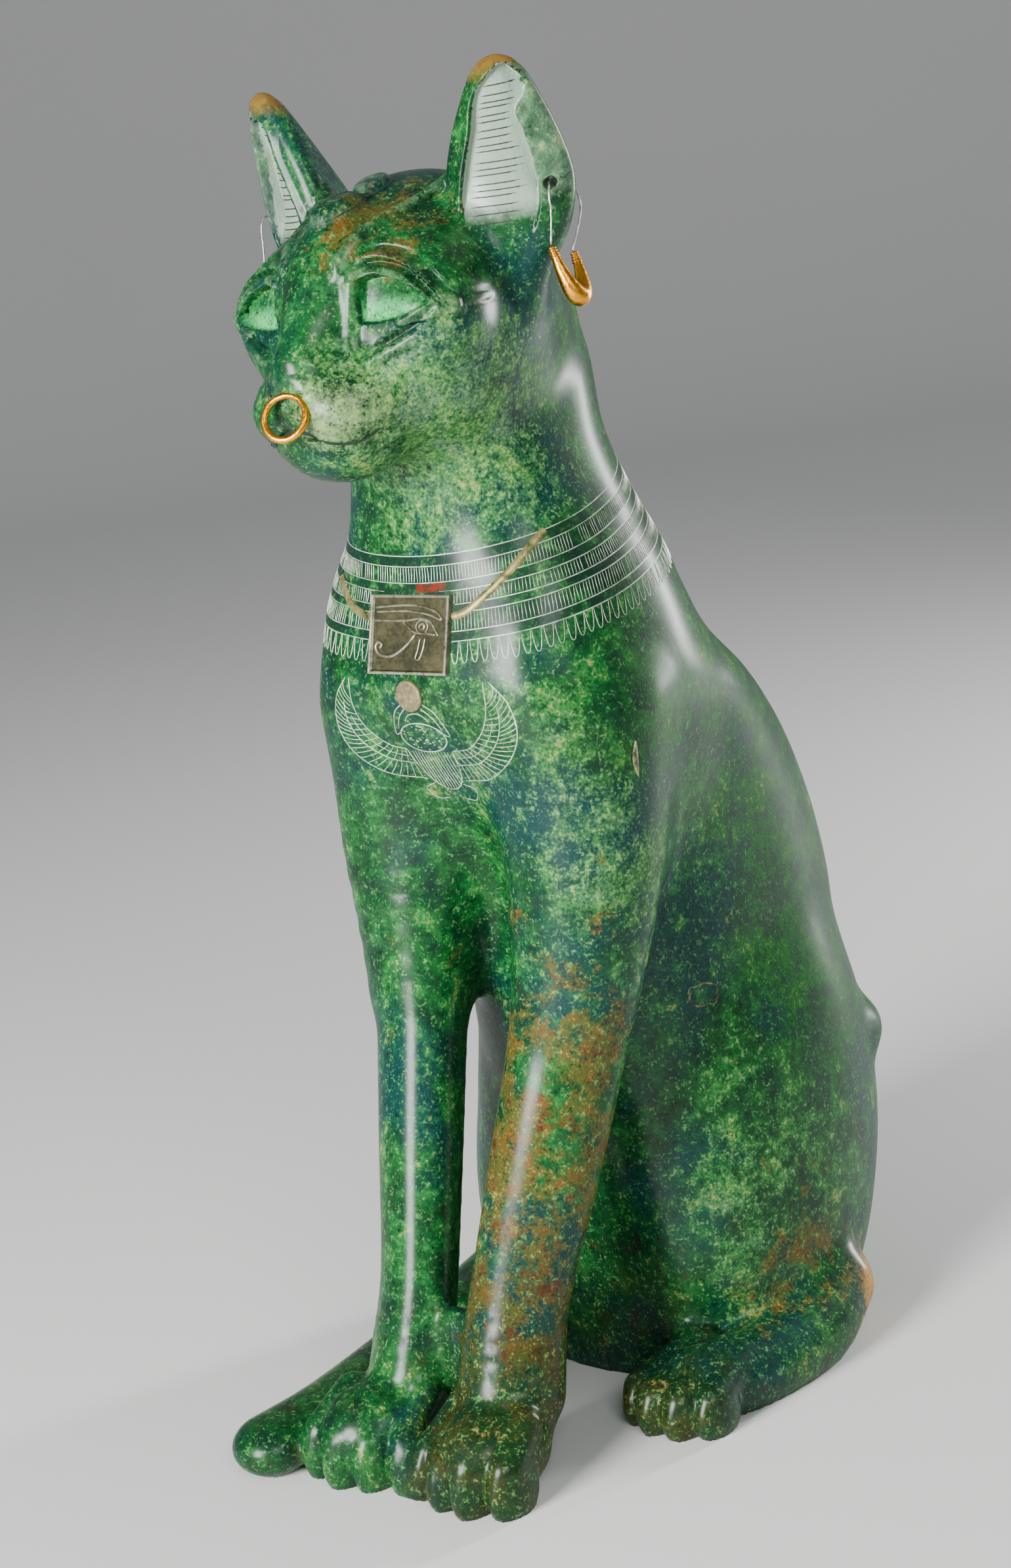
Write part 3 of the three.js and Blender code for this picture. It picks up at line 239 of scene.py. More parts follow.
def ear_distance(p):
    q = p - ear_foot
    s, t, w = q @ ear_axis, q @ ear_face, q @ ear_side
    deep = through(ear_up, ear_front, s)
    deep = deep + soft_step(t, 4) * bead(w + 1, 16) * (through(ear_up, ear_back, s) - deep)
    around = np.sqrt((np.abs(w - 2) / through(ear_up, ear_half, s))**2.2 + (t / deep)**2)
    d = smooth_max((around - 1) * deep * 0.9, s - 46.5, 7)
    d = smooth_max(d, -s - 26, 6)
    a, b = through(rim_up, rim, s), through(flap_up, flap, s)
    share = np.clip((w - a) / (b - a), 0, 1)
    inside = soft_step(np.maximum.reduce([a - w, w - b, s - 43.5]), 1.6)
    sunk = (1.6 + 3.4 * share) * soft_step(5 - s, 20) * np.clip(0.45 + (44 - s) / 30, 0, 1)
    ridge = bead(w - a + 1, 2.2) * soft_step(np.maximum(s - 44, 6 - s), 4)
    d = d + soft_step(-t - 0.5, 3) * (inside * sunk - 0.8 * ridge)
    hole = np.hypot(w - ear_hole[0], s - ear_hole[1]) - ear_hole[2]
    return np.maximum(d, -hole)


def path_distance(points, p):
    return tapered_run(points, [0] * len(points)).distance(p)


def carving(p):
    """The carving of the face, as a height to raise or sink the surface by."""
    x, y, z = p.T
    upper, lower = through(eye_x, eye_top, x), through(eye_x, eye_low, x)
    over_lid, over_brow = z - through(lid_x, lid, x), z - through(lid_x, brow, x)
    # the eyeball is set back a little, more so under the upper lid
    e = np.maximum.reduce([z - upper, lower - z, eye_x[0] - x, x - eye_x[-1]])
    raised = np.clip((z - lower) / (upper - lower + 1e-6), 0, 1)
    h = -(1.5 + 0.6 * soft_step(0.5 - raised, 0.9)) * soft_step(e + 0.5, 1.3)
    lid_ends = soft_step(np.maximum(14 - x, x - 40), 2)
    h += 0.9 * soft_step(np.maximum(upper - 0.3 - z, over_lid), 0.9) * lid_ends
    brows = 0.9 * bead(over_brow, 1.5) - 0.5 * bead(over_brow - 1.9, 1.4)
    h += soft_step(np.maximum(16 - x, x - 42), 4) * (brows - 0.6 * bead(over_lid - 0.5, 1.1))
    h += 1.1 * soft_step(path_distance(corner_pad, p) - 1.3 - 1.6 * np.clip((x - 29) / 11, 0, 1), 1.2)
    cheek = np.array(cheek_ridge)[::-1]
    above = z - through(cheek[:, 0], cheek[:, 2], x)
    h -= bead(above - 3.2, 2.4) * soft_step(np.maximum(21 - x, x - 38), 4)
    h *= soft_step(y + 55, 10)
    h += 1.7 * bead(path_distance(cheek_ridge, p), 2.6)
    h += 0.5 * bead(path_distance(tear_ridge, p), 3.6) * np.clip((369 - z) / 6, 0, 1)
    h += 1.9 * bead(path_distance(forehead_ridge, p), 3.0) * np.clip((z - 361) / 9, 0, 1)
    for centre, radii, height, edge in crown_beetle:
        h += height * soft_step(np.linalg.norm((p - centre) / radii, axis=1) - 1, edge)
    h -= 1.8 * bead(path_distance(mouth, p), 1.5)
    h += 0.8 * bead(path_distance(np.array(mouth) - [0, 0, 2.7], p), 2.2)
    h -= 0.7 * bead(path_distance([[0, -98, 331], [0, -97, 322.5]], p), 1.6)
    h += 0.6 * soft_step(path_distance([[0, -97, 335], [5, -95.5, 334.5]], p) - 3, 2.5)
    h -= bead(path_distance([[3.2, -98, 331], [6.5, -95, 332.8]], p), 1.6)
    return h


body_form = join(
    Form(torso_distance, [0, 25, 176], 220),
    (egg([27, 43, 65], [36, 58, 79], -10), 12),
    (egg([36, 30, 38], [20, 40, 46], 10), 16),
    (egg([44, 88, 88], [9, 10, 9]), 8),
    (egg([33, -18, 226], [20, 34, 46], 18), 16),
    (join(limb(foreleg, foreleg_radius, 24, leg_narrow), (limb(upper_arm, upper_arm_radius, 10), 8),
          (egg([41, -15.5, 178], [7.5, 8, 10]), 4)), 12),
    (join(limb(hind_foot, hind_foot_radius, 12),
          *toes(hind_toes, 1.5, (3, 6, 0.5, 9.5), (1, 11), lambda x: [x * 0.8 + 10, -16, 15])), 8),
    (rounded_block([0, -80, 34], [7, 5, 14.5], 3), 4),
)
paw_form = join(
    egg([21, -95, 13], [17, 20, 15]),
    *toes(fore_toes, 1.5, (4, 7, 0.6, 11.5), (2, 14), lambda x: [x * 0.85 + 3, -92, 22]),
    (egg([0, -104, 4], [9, 9.5, 12]), 3),
)
tail_form = limb(tail, tail_radius, 20, tail_flat)
head_form = join(
    egg([0, -31, 351], [37.5, 43, 38]),
    (rounded_block([0, -46, 351], [40, 33.5, 24], 3), 12),
    (egg([15, -47, 332], [20.5, 29, 23]), 12),
    (egg([29, -62, 350], [12.5, 12, 13]), 8),
    (tapered_run([[0, -66, 370], [0, -89.5, 340]], [9.5, 7.5]), 10),
    (egg([6.5, -78.5, 326.5], [17.5, 18.5, 12.8]), 10),
    (egg([0, -74.5, 315], [16.5, 17, 10.5]), 8),
)


def cat_distance(p):
    mirrored = np.array(p, float)
    mirrored[:, 0] = np.abs(p[:, 0])
    d = body_form.distance(mirrored)
    near = (p[:, 2] < 60) & (p[:, 1] < -40)
    if near.any():
        # the right forepaw stands a little forward of the left one
        paw = mirrored[near]
        paw[:, 1] += right_paw_turn * np.clip(-p[near, 0] - 8, 0, 30)
        d[near] = smooth_min(d[near], paw_form.distance(paw), 5)
    low = p[:, 2] < 80
    d[low] = smooth_min(d[low], tail_form.distance(p[low]), 3)
    high = p[:, 2] > 270
    if high.any():
        d[high] = smooth_min(d[high], head_form.distance(mirrored[high]), 10)
        d[high] = smooth_min(d[high], ear_distance(mirrored[high]), 5)
    carved = (p[:, 2] > 290) & (p[:, 1] < -40) & (np.abs(d) < 9)
    d[carved] -= carving(mirrored[carved])
    return np.maximum(d, -p[:, 2])


def surface_net(distance, low, high, step):
    """The zero surface of a field as quads, one vertex in each cell of the grid that it crosses."""
    low, high = np.array(low, float), np.array(high, float)
    levels = 4
    size = 2**levels
    count = np.ceil((high - low) / step / size).astype(int)
    cells = np.stack(np.meshgrid(*[np.arange(n) for n in count], indexing="ij"), -1).reshape(-1, 3) * size
    for level in range(levels, -1, -1):
        size = 2**level
        middle = low + (cells + size / 2) * step
        steep = middle[:, 2] > 290
        margin = 5 if level > 2 else np.where(steep, 3.5, 1 if level else 0.4)
        keep = np.abs(distance(middle)) < size * step * 0.87 * 1.3 + margin
        cells = cells[keep]
        if level:
            corners = np.array([[i, j, k] for i in (0, 1) for j in (0, 1) for k in (0, 1)]) * (size // 2)
            cells = (cells[:, None] + corners).reshape(-1, 3)
    shape = tuple(count * 2**levels + 2)
    index = np.ravel_multi_index(cells.T, shape)
    offsets = [np.ravel_multi_index(corner, shape) for corner in np.ndindex(2, 2, 2)]
    nodes = np.unique(np.concatenate([index + offset for offset in offsets]))
    places = low + np.stack(np.unravel_index(nodes, shape), -1) * step
    values = np.full(np.prod(shape), np.nan, np.float32)
    values[nodes] = distance(places)
    crossing, total = np.zeros((len(index), 3)), np.zeros(len(index))
    for a in range(8):
        for b in range(a + 1, 8):
            if bin(a ^ b).count("1") > 1:
                continue
            va, vb = values[index + offsets[a]], values[index + offsets[b]]
            cut = (va < 0) != (vb < 0)
            t = np.where(cut, va / np.where(cut, va - vb, 1), 0)[:, None]
            ca, cb = np.array(np.unravel_index(a, (2, 2, 2))), np.array(np.unravel_index(b, (2, 2, 2)))
            crossing += np.where(cut[:, None], ca + (cb - ca) * t, 0)
            total += cut
    used = total > 0
    vertices = low + (cells[used] + crossing[used] / total[used, None]) * step
    vertex_of = np.full(np.prod(shape), -1, np.int64)
    vertex_of[index[used]] = np.arange(used.sum())
    quads = []
    strides = [offsets[4], offsets[2], offsets[1]]
    for axis in range(3):
        ahead, u, v = strides[axis], strides[(axis + 1) % 3], strides[(axis + 2) % 3]
        start, end = values[nodes], values[nodes + ahead]
        cut = (start < 0) != (end < 0)
        cut &= ~np.isnan(end)
        ring = np.stack([vertex_of[nodes[cut] - u - v], vertex_of[nodes[cut] - v], vertex_of[nodes[cut]],
                         vertex_of[nodes[cut] - u]], -1)
        turned = start[cut] > 0
        ring[turned] = ring[turned][:, ::-1]
        quads.append(ring[(ring >= 0).all(1)])
    return vertices, np.concatenate(quads)


def slope_at(distance, p, reach=0.15):
    """The direction out of the surface at each point, and how far the point stands off it."""
    ways = np.array([[1, -1, -1], [-1, 1, -1], [-1, -1, 1], [1, 1, 1]], float)
    samples = [distance(p + way * reach) for way in ways]
    slope = sum(sample[:, None] * way for sample, way in zip(samples, ways)) / (4 * reach)
    size = np.maximum(np.linalg.norm(slope, axis=1), 1e-6)
    return slope / size[:, None], sum(samples) / 4 / size


def new_piece(name, vertices, faces, scale=unit):
    """A mesh object from points in millimetres."""
    mesh = bpy.data.meshes.new(name)
    rings = faces.tolist() if isinstance(faces, np.ndarray) else faces
    mesh.from_pydata(np.asarray(vertices, float) * scale, [], rings)
    mesh.update()
    piece = bpy.data.objects.new(name, mesh)
    bpy.context.collection.objects.link(piece)
    return piece


def points_of(piece):
    flat = np.empty(len(piece.data.vertices) * 3)
    piece.data.vertices.foreach_get("co", flat)
    return flat.reshape(-1, 3)


def only(piece):
    """Selects one piece alone and makes it active."""
    bpy.ops.object.select_all(action="DESELECT")
    piece.select_set(True)
    bpy.context.view_layer.objects.active = piece


def finish(piece, material, node=None, smooth=True):
    """Gives a piece its material and fixes it to the body."""
    if smooth:
        only(piece)
        bpy.ops.object.shade_smooth()
    piece.data.materials.append(material)
    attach(piece, "root")
    if node:
        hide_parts(node)


class Sum:
    """A number over the surface: a shader socket that can be added, multiplied and compared."""

    def __init__(self, tree, socket):
        self.tree, self.socket = tree, socket

    def node(self, kind, settings=(), **inputs):
        made = self.tree.nodes.new(kind)
        for name, value in dict(settings).items():
            setattr(made, name, value)
        for name, value in inputs.items():
            key = int(name[1:]) if name[0] == "_" else name.replace("_", " ")
            if isinstance(value, Sum):
                self.tree.links.new(value.socket, made.inputs[key])
            else:
                made.inputs[key].default_value = value
        return made

    def math(self, operation, *others, clamp=False):
        values = {f"_{i}": value for i, value in enumerate((self,) + others)}
        made = self.node("ShaderNodeMath", {"operation": operation, "use_clamp": clamp}, **values)
        return Sum(self.tree, made.outputs[0])

    def __add__(self, other):
        return self.math("ADD", other)

    def __radd__(self, other):
        return self.math("ADD", other)

    def __mul__(self, other):
        return self.math("MULTIPLY", other)

    def __rmul__(self, other):
        return self.math("MULTIPLY", other)

    def __sub__(self, other):
        return self.math("SUBTRACT", other)

    def __rsub__(self, other):
        return (self * -1).math("ADD", other)

    def __truediv__(self, other):
        return self.math("DIVIDE", other)

    def power(self, other):
        return self.math("POWER", other)

    def clipped(self):
        return self.math("ADD", 0, clamp=True)

    def over(self, low, high):
        """0 up to low and 1 from high, rising evenly between them."""
        return ((self - low) / (high - low)).clipped()

    def out(self, made, name):
        return Sum(self.tree, made.outputs[name])

    def axes(self):
        """The three coordinates of a place, in millimetres."""
        made = self.node("ShaderNodeSeparateXYZ", Vector=self)
        return [self.out(made, axis) * 1000 for axis in "XYZ"]

    def noise(self, size_mm, detail=4, rough=0.55, twist=0.0, shift=(0, 0, 0)):
        """Soft patches about size_mm across, by the piece's own coordinates."""
        moved = self.node("ShaderNodeMapping", Vector=self, Location=shift)
        made = self.node("ShaderNodeTexNoise", Vector=self.out(moved, "Vector"), Scale=1000 / size_mm,
                         Detail=detail, Roughness=rough, Distortion=twist)
        return self.out(made, "Fac")

    def blend(self, under, over):
        """The colour under where this is 0 and over where it is 1."""
        made = self.node("ShaderNodeMix", {"data_type": "RGBA"}, _0=self)
        for index, colour in ((6, under), (7, over)):
            if isinstance(colour, Sum):
                self.tree.links.new(colour.socket, made.inputs[index])
            else:
                made.inputs[index].default_value = (*colour, 1)
        return Sum(self.tree, made.outputs[2])


def start_material(name, metallic, roughness):
    """A new material with its shader, and its object coordinates to build patterns on."""
    material = bpy.data.materials.new(name)
    material.use_nodes = True
    tree = material.node_tree
    shader = tree.nodes["Principled BSDF"]
    shader.inputs["Metallic"].default_value = metallic
    shader.inputs["Roughness"].default_value = roughness
    coordinates = tree.nodes.new("ShaderNodeTexCoord")
    return material, shader, Sum(tree, coordinates.outputs["Object"])


def feed(value, shader, name):
    value.tree.links.new(value.socket, shader.inputs[name])


def bump(height, shader, distance_mm, strength=1.0):
    made = height.node("ShaderNodeBump", Height=height, Strength=strength, Distance=distance_mm / 1000)
    feed(height.out(made, "Normal"), shader, "Normal")


net_low, net_high, net_step = (-88, -136, -3), (80, 122, 421), 1.2
bronze_triangles = 192000
smallest, largest = np.array(cat_low) / unit, np.array(cat_high) / unit
vertices, quads = surface_net(cat_distance, net_low, net_high, net_step)
bronze_cat = new_piece("bronze_cat", vertices, quads, 1)
x, y, z = vertices[quads].mean(1).T
fine_faces = ((z > 298) & (y < -36)) | ((z > 372) & (y < 0)) | ((z < 24) & (y < -92))
for part, chosen in (("vertices", False), ("edges", False), ("polygons", fine_faces)):
    items = getattr(bronze_cat.data, part)
    items.foreach_set("select", np.broadcast_to(chosen, len(items)).copy())
only(bronze_cat)
bpy.context.tool_settings.mesh_select_mode = (False, False, True)
bpy.ops.object.mode_set(mode="EDIT")
bpy.ops.mesh.subdivide(number_cuts=1)
bpy.ops.object.mode_set(mode="OBJECT")
points = points_of(bronze_cat)
normals, value = slope_at(cat_distance, points)
points = points - normals * np.clip(value, -0.6, 0.6)[:, None]
bronze_cat.data.vertices.foreach_set("co", points.ravel())
x, y, z = points.T
detail = np.clip((z - 294) / 8, 0, 1) * np.clip((-30 - y) / 12, 0, 1)
detail = np.maximum(detail, 0.8 * np.clip((z - 372) / 8, 0, 1))
detail = np.maximum(detail, 0.75 * (z < 30) * (y < -20))
share = 1 - 0.9 * np.clip(detail, 0, 1)
fine = bronze_cat.vertex_groups.new(name="smooth_body")
for level in range(1, 11):
    chosen = np.flatnonzero(np.round(share * 10).astype(int) == level)
    if len(chosen):
        fine.add(chosen.tolist(), level / 10, "REPLACE")
thin = bronze_cat.modifiers.new("thin", "DECIMATE")
thin.ratio = bronze_triangles / sum(len(face.vertices) - 2 for face in bronze_cat.data.polygons)
thin.vertex_group = "smooth_body"
thin.vertex_group_factor = 0.02
bpy.ops.object.modifier_apply(modifier="thin")
bronze_cat.vertex_groups.clear()
points = points_of(bronze_cat)
for _ in range(2):
    normals, value = slope_at(cat_distance, points)
    points = points - normals * np.clip(value, -0.5, 0.5)[:, None]
points = np.clip(points, smallest, largest)
points[points[:, 2] < 0.3, 2] = 0
normals, _ = slope_at(cat_distance, points + [0, 0, 0.2])
normals[points[:, 2] <= 0] = [0, 0, -1]
bronze_cat.data.vertices.foreach_set("co", (points * unit).ravel())
bronze_cat.data.update()
only(bronze_cat)
bpy.ops.object.shade_smooth()
bronze_cat.data.normals_split_custom_set_from_vertices(normals)

# the patina is brown on the forelegs and feet, pale on the lower face and neck, and deep green with painted
# shade on the back and the flanks. It is worn to the metal at the ear tips, and the left heel has a painted
# warm reflection
x, y, z = points.T


def patch(centre, size):
    """A soft egg-shaped patch of the surface: 1 in its middle and 0 at its edge."""
    return np.clip(1.4 * (1 - np.linalg.norm((points - centre) / size, axis=1)), 0, 1)


leg_front = np.clip((-22 - y) / 25, 0, 1) * np.clip((215 - z) / 90, 0, 1)
leg_front *= np.clip(x / 16 + 0.45, 0.25, 1)
brown = 0.74 * leg_front + 0.6 * patch([55, 30, 28], [34, 60, 40])
brown += 0.85 * patch([14, -62, 374], [36, 36, 24])
brown += 0.4 * patch([0, -90, 335], [22, 30, 22]) + 0.3 * patch([60, 0, 70], [30, 50, 60])
foot_dark = np.clip((110 - z) / 90, 0, 1) * np.clip((20 - y) / 60, 0.4, 1) * np.clip(x / 20 + 0.8, 0.4, 1)
pale = patch([26, -66, 326], [42, 48, 34]) + 0.55 * patch([20, -50, 300], [60, 50, 30])
pale += 0.35 * patch([10, -60, 240], [50, 60, 60]) + 0.6 * patch([50, -45, 195], [26, 30, 60])
pale += 0.35 * patch([60, 10, 60], [40, 50, 70])
# deep marks painted shade on a deep green patina: the back half above the feet, the back of the head and a
# patch on the left shoulder
deep = np.clip(y / 50, 0, 1) * np.clip((z - 60) / 50, 0, 1) + 0.6 * patch([20, 0, 335], [60, 60, 60])
deep += 0.7 * patch([50, -20, 225], [40, 50, 50])
tips = np.clip((z - 405) / 11, 0, 1)
# pale dust on the muzzle, brightened further with a painted highlight
dust_and_highlight = patch([14, -90, 326], [24, 24, 17])
# a painted warm reflection on the left heel
tan = 0.9 * patch([66, 47, 15], [15, 22, 19]) * (x > 30)
q = points.copy()
q[:, 0] = np.abs(x)
carved = (z > 300) & (y < -45)
height = np.where(carved, carving(q), 0)
eye = (z < through(eye_x, eye_top, q[:, 0]) - 0.4) & (z > through(eye_x, eye_low, q[:, 0]) + 0.4)
eye = eye & (q[:, 0] > eye_x[0] + 0.4) & (q[:, 0] < eye_x[-1]) & (y < -60)
raised, sunk = np.clip(height / 1.4, 0, 1), np.clip(-height / 1.4, 0, 1) * ~eye
# the eyeball's green is painted light on its lower half, and painted shade under the upper lid and towards
# the outer corner
painted_eye_light = eye * (0.05 + 0.95 * np.clip((356.6 - z) / 4.0, 0, 1)) * np.clip((44 - q[:, 0]) / 20, 0, 1)
q -= ear_foot
up, face, side = q @ ear_axis, q @ ear_face, q @ ear_side
ear = (side > through(rim_up, rim, up)) & (up > -1) & (up < 44)
ear = ear * np.where(side < through(flap_up, flap, up), 1, 0.42)
ear = ear * (face > -0.5) * np.clip((up + 2) / 10, 0, 1)
layers = {"brown": brown, "pale": pale, "deep": deep, "tips": tips * (1 - ear), "tan": tan, "ear": ear,
          "foot": foot_dark, "dust_and_highlight": dust_and_highlight, "raised": raised, "sunk": sunk, "eye": painted_eye_light}
for name, amount in layers.items():
    layer = bronze_cat.data.attributes.new(name, "FLOAT", "POINT")
    layer.data.foreach_set("value", np.clip(amount, 0, 1).astype(np.float32))

# the collar's lines lie at these heights on the breast, in millimetres, and rise towards the nape
collar_lines = [278.7, 275.6, 270.8, 268.0, 264.0, 261.6, 256.4, 253.6]
collar_rise, collar_axis = 12.8, -5.0

patina, shader, place = start_material("green_patina", 0.2, 0.4)
amount = {}
for name in layers:
    amount[name] = place.out(place.node("ShaderNodeAttribute", {"attribute_name": name}), "Fac")
across, along, above = place.axes()
broad = place.noise(60, 3, 0.6, 0.2)
cloud = place.noise(19, 6, 0.7, 0.2, (0.3, 0.1, 0.7))
spots = place.noise(6.5, 6, 0.72, 0.0, (1.2, 0.4, 0.2))
specks = place.noise(2.2, 5, 0.75, 0.0, (0.1, 2.3, 0.6))
warm = place.noise(13, 7, 0.72, 0.1, (2.0, 1.0, 0.3))
grain = place.noise(0.9, 2, 0.6)
mottle = cloud * 0.5 + spots * 0.5
fleck = specks * 0.6 + grain * 0.4
colour = mottle.over(0.42, 0.58).blend((0.001, 0.026, 0.010), (0.006, 0.100, 0.016))
colour = (broad.over(0.48, 0.60) * 0.8).blend(colour, (0.000, 0.034, 0.036))
colour = (spots.over(0.50, 0.60) * cloud.over(0.44, 0.58) * 0.8).blend(colour, (0.020, 0.190, 0.040))
bloom = (mottle * 1.1 - 0.05 + (amount["pale"] - 0.66) * 0.28 + (fleck - 0.5) * 0.5).over(0.40, 0.64)
colour = (bloom * 0.85).blend(colour, (0.050, 0.190, 0.045))
# a painted grey-blue sheen in patches over the pale bloom
grey_sheen = place.noise(16, 6, 0.7, 0.0, (4.0, 1.0, 2.3)).over(0.50, 0.60)
colour = (bloom * grey_sheen * 0.7).blend(colour, (0.075, 0.165, 0.110))
colour = (bloom * fleck.over(0.49, 0.60) * 0.8).blend(colour, (0.24, 0.38, 0.11))
rust = (warm + (amount["brown"] - 0.68) * 0.30 + (fleck - 0.5) * 0.45).over(0.47, 0.56)
colour = (rust * 0.8).blend(colour, (0.088, 0.076, 0.010))
colour = (rust * spots.over(0.49, 0.60) * 0.8).blend(colour, (0.145, 0.052, 0.008))
red = (rust + amount["foot"] * 0.5) * place.noise(8, 6, 0.7, 0.0, (0.5, 0.5, 2.5)).over(0.55, 0.62)
colour = (red.clipped() * 0.8).blend(colour, (0.085, 0.013, 0.005))
colour = ((amount["foot"] + (mottle - 0.5) * 2.2).over(0.35, 1.0) * 0.8).blend(colour, (0.006, 0.022, 0.004))
# shade darkens the deep layer's places with painted shade in a mottled deep green
shade = (amount["deep"] + (mottle - 0.5) * 2.0).over(0.25, 0.9)
painted_shade_green = mottle.over(0.46, 0.56).blend((0.001, 0.040, 0.012), (0.001, 0.095, 0.005))
colour = (shade * (0.92 - bloom * 0.4)).blend(colour, painted_shade_green)
colour = (fleck.over(0.54, 0.63) * (0.65 - shade * 0.45)).blend(colour, (0.13, 0.36, 0.10))
# pale dust and a painted highlight on the muzzle
dust_and_highlight_mix = (amount["dust_and_highlight"] * 0.8 + (mottle - 0.5) * 3.0 + (fleck - 0.5) * 2.0).over(0.30, 1.0)
colour = (dust_and_highlight_mix * 0.42).blend(colour, (0.36, 0.45, 0.20))
colour = (fleck.over(0.46, 0.37) * 0.85).blend(colour, (0.001, 0.010, 0.003))
colour = ((amount["ear"] + (spots - 0.5) * 0.6).over(0.3, 0.8) * 0.75).blend(colour, (0.36, 0.45, 0.36))
colour = ((amount["tips"] + (spots - 0.5) * 1.2).over(0.35, 0.9) * 0.85).blend(colour, (0.26, 0.13, 0.02))
# the left heel is painted with a warm reflection in tan and orange
painted_heel_reflection = (amount["tan"] + (mottle - 0.5) * 2.4 + (fleck - 0.5) * 1.2).over(0.22, 0.75)
warm_reflection_colour = spots.over(0.42, 0.60).blend((0.26, 0.11, 0.018), (0.50, 0.26, 0.05))
colour = (painted_heel_reflection * 0.9).blend(colour, warm_reflection_colour)
# the eyeball's green, with painted light below and painted shade under the upper lid
colour = (amount["eye"] * fleck.over(0.36, 0.52) * 0.9).blend(colour, (0.08, 0.50, 0.15))
colour = (amount["sunk"] * 0.8).blend(colour, (0.002, 0.012, 0.006))
colour = (amount["raised"] * spots.over(0.44, 0.58) * 0.3).blend(colour, (0.20, 0.30, 0.17))
# the bands of the collar are darker than the bronze around them, and one holds some red inlay
radius = (across * across + (along - collar_axis) * (along - collar_axis)).power(0.5)
height = above - collar_rise * (1 + (along - collar_axis) / radius)
plain = ticked = 0
for i, (top, foot) in enumerate(zip(collar_lines, collar_lines[1:])):
    band = height.over(foot - 0.2, foot + 0.2) * height.over(top + 0.2, top - 0.2)
    if i % 2:
        ticked = ticked + band
    else:
        plain = plain + band
    if i == 2:
        red_inlay = band * across.over(2, 3) * across.over(13.5, 11.5)
        red_inlay = red_inlay * along.over(0, -20) * spots.over(0.40, 0.46)
darkened = (plain * 0.75 + ticked * 0.7) * spots.over(0.66, 0.5)
colour = darkened.blend(colour, (0.004, 0.022, 0.012))
colour = (red_inlay * 0.85).blend(colour, (0.17, 0.016, 0.006))
feed(colour, shader, "Base Color")
feed(0.50 + specks.over(0.35, 0.7) * 0.15, shader, "Roughness")
feed(0.10 - bloom * 0.08, shader, "Metallic")
coat = 0.48 - bloom * 0.20 - rust * 0.10 - amount["eye"] * 0.25
feed(coat * (1 - shade * 0.3), shader, "Coat Weight")
shader.inputs["Coat Roughness"].default_value = 0.25
shader.inputs["Specular IOR Level"].default_value = 0.03
bump(grain * 0.9 + specks * 1.2 + spots * 0.8, shader, 0.25, 0.8)
finish(bronze_cat, patina, "cat_figure", smooth=False)


# The engraving is cut with a chisel after casting and catches the light: a broad collar of three ticked
# bands and a fringe of drops, and a winged beetle on the breast. Each cut is a thin bright ridge of
# mesh that lies on the bronze.
dice = np.random.default_rng(7)


def first_hit(starts, ways, reach):
    """Where straight lines from the starts first meet the bronze, within reach millimetres."""
    starts = np.asarray(starts, float)
    ways = np.broadcast_to(np.asarray(ways, float), starts.shape)
    steps = np.linspace(0, reach, 25)
    near, found = np.zeros(len(starts)), np.zeros(len(starts), bool)
    for before, after in zip(steps, steps[1:]):
        inside = cat_distance(starts + ways * after) < 0
        near[inside & ~found] = before
        found |= inside
    far = near + steps[1]
    for _ in range(9):
        middle = (near + far) / 2
        inside = cat_distance(starts + ways * middle[:, None]) < 0
        near, far = np.where(inside, near, middle), np.where(inside, middle, far)
    return starts + ways * far[:, None]


def smooth_run(places, count):
    """count places evenly along a smooth curve through a few of them."""
    places = np.asarray(places, float)
    u = np.linspace(0, len(places) - 1, count)
    return np.stack([through(np.arange(len(places)), column, u) for column in places.T], -1)


def collar_points(turns, heights):
    """Points on the collar, by the turn round the neck from the breast and the height there."""
    turns, heights = np.broadcast_arrays(turns, heights)
    out = np.stack([np.sin(turns), -np.cos(turns), 0 * turns], -1)
    starts = out * 76 + [0, collar_axis, 0]
    starts[..., 2] = heights + collar_rise * (1 - np.cos(turns))
    return first_hit(starts.reshape(-1, 3), -out.reshape(-1, 3), 62).reshape(*turns.shape, 3)


def breast_points(places):
    """Points on the breast straight behind places given as across and up."""
    places = np.asarray(places, float)
    starts = np.stack([places[..., 0], 0 * places[..., 0] - 90, places[..., 1]], -1)
    return first_hit(starts.reshape(-1, 3), [0, 1, 0], 55).reshape(*places.shape[:-1], 3)


def ear_points(across, up, which):
    """Points on the front of an ear, by their place across and up its face."""
    starts = ear_foot + np.multiply.outer(across, ear_side) + np.multiply.outer(up, ear_axis) + ear_face * 13
    hits = first_hit(starts.reshape(-1, 3) * [which, 1, 1], -ear_face * [which, 1, 1], 22)
    return hits.reshape(starts.shape)


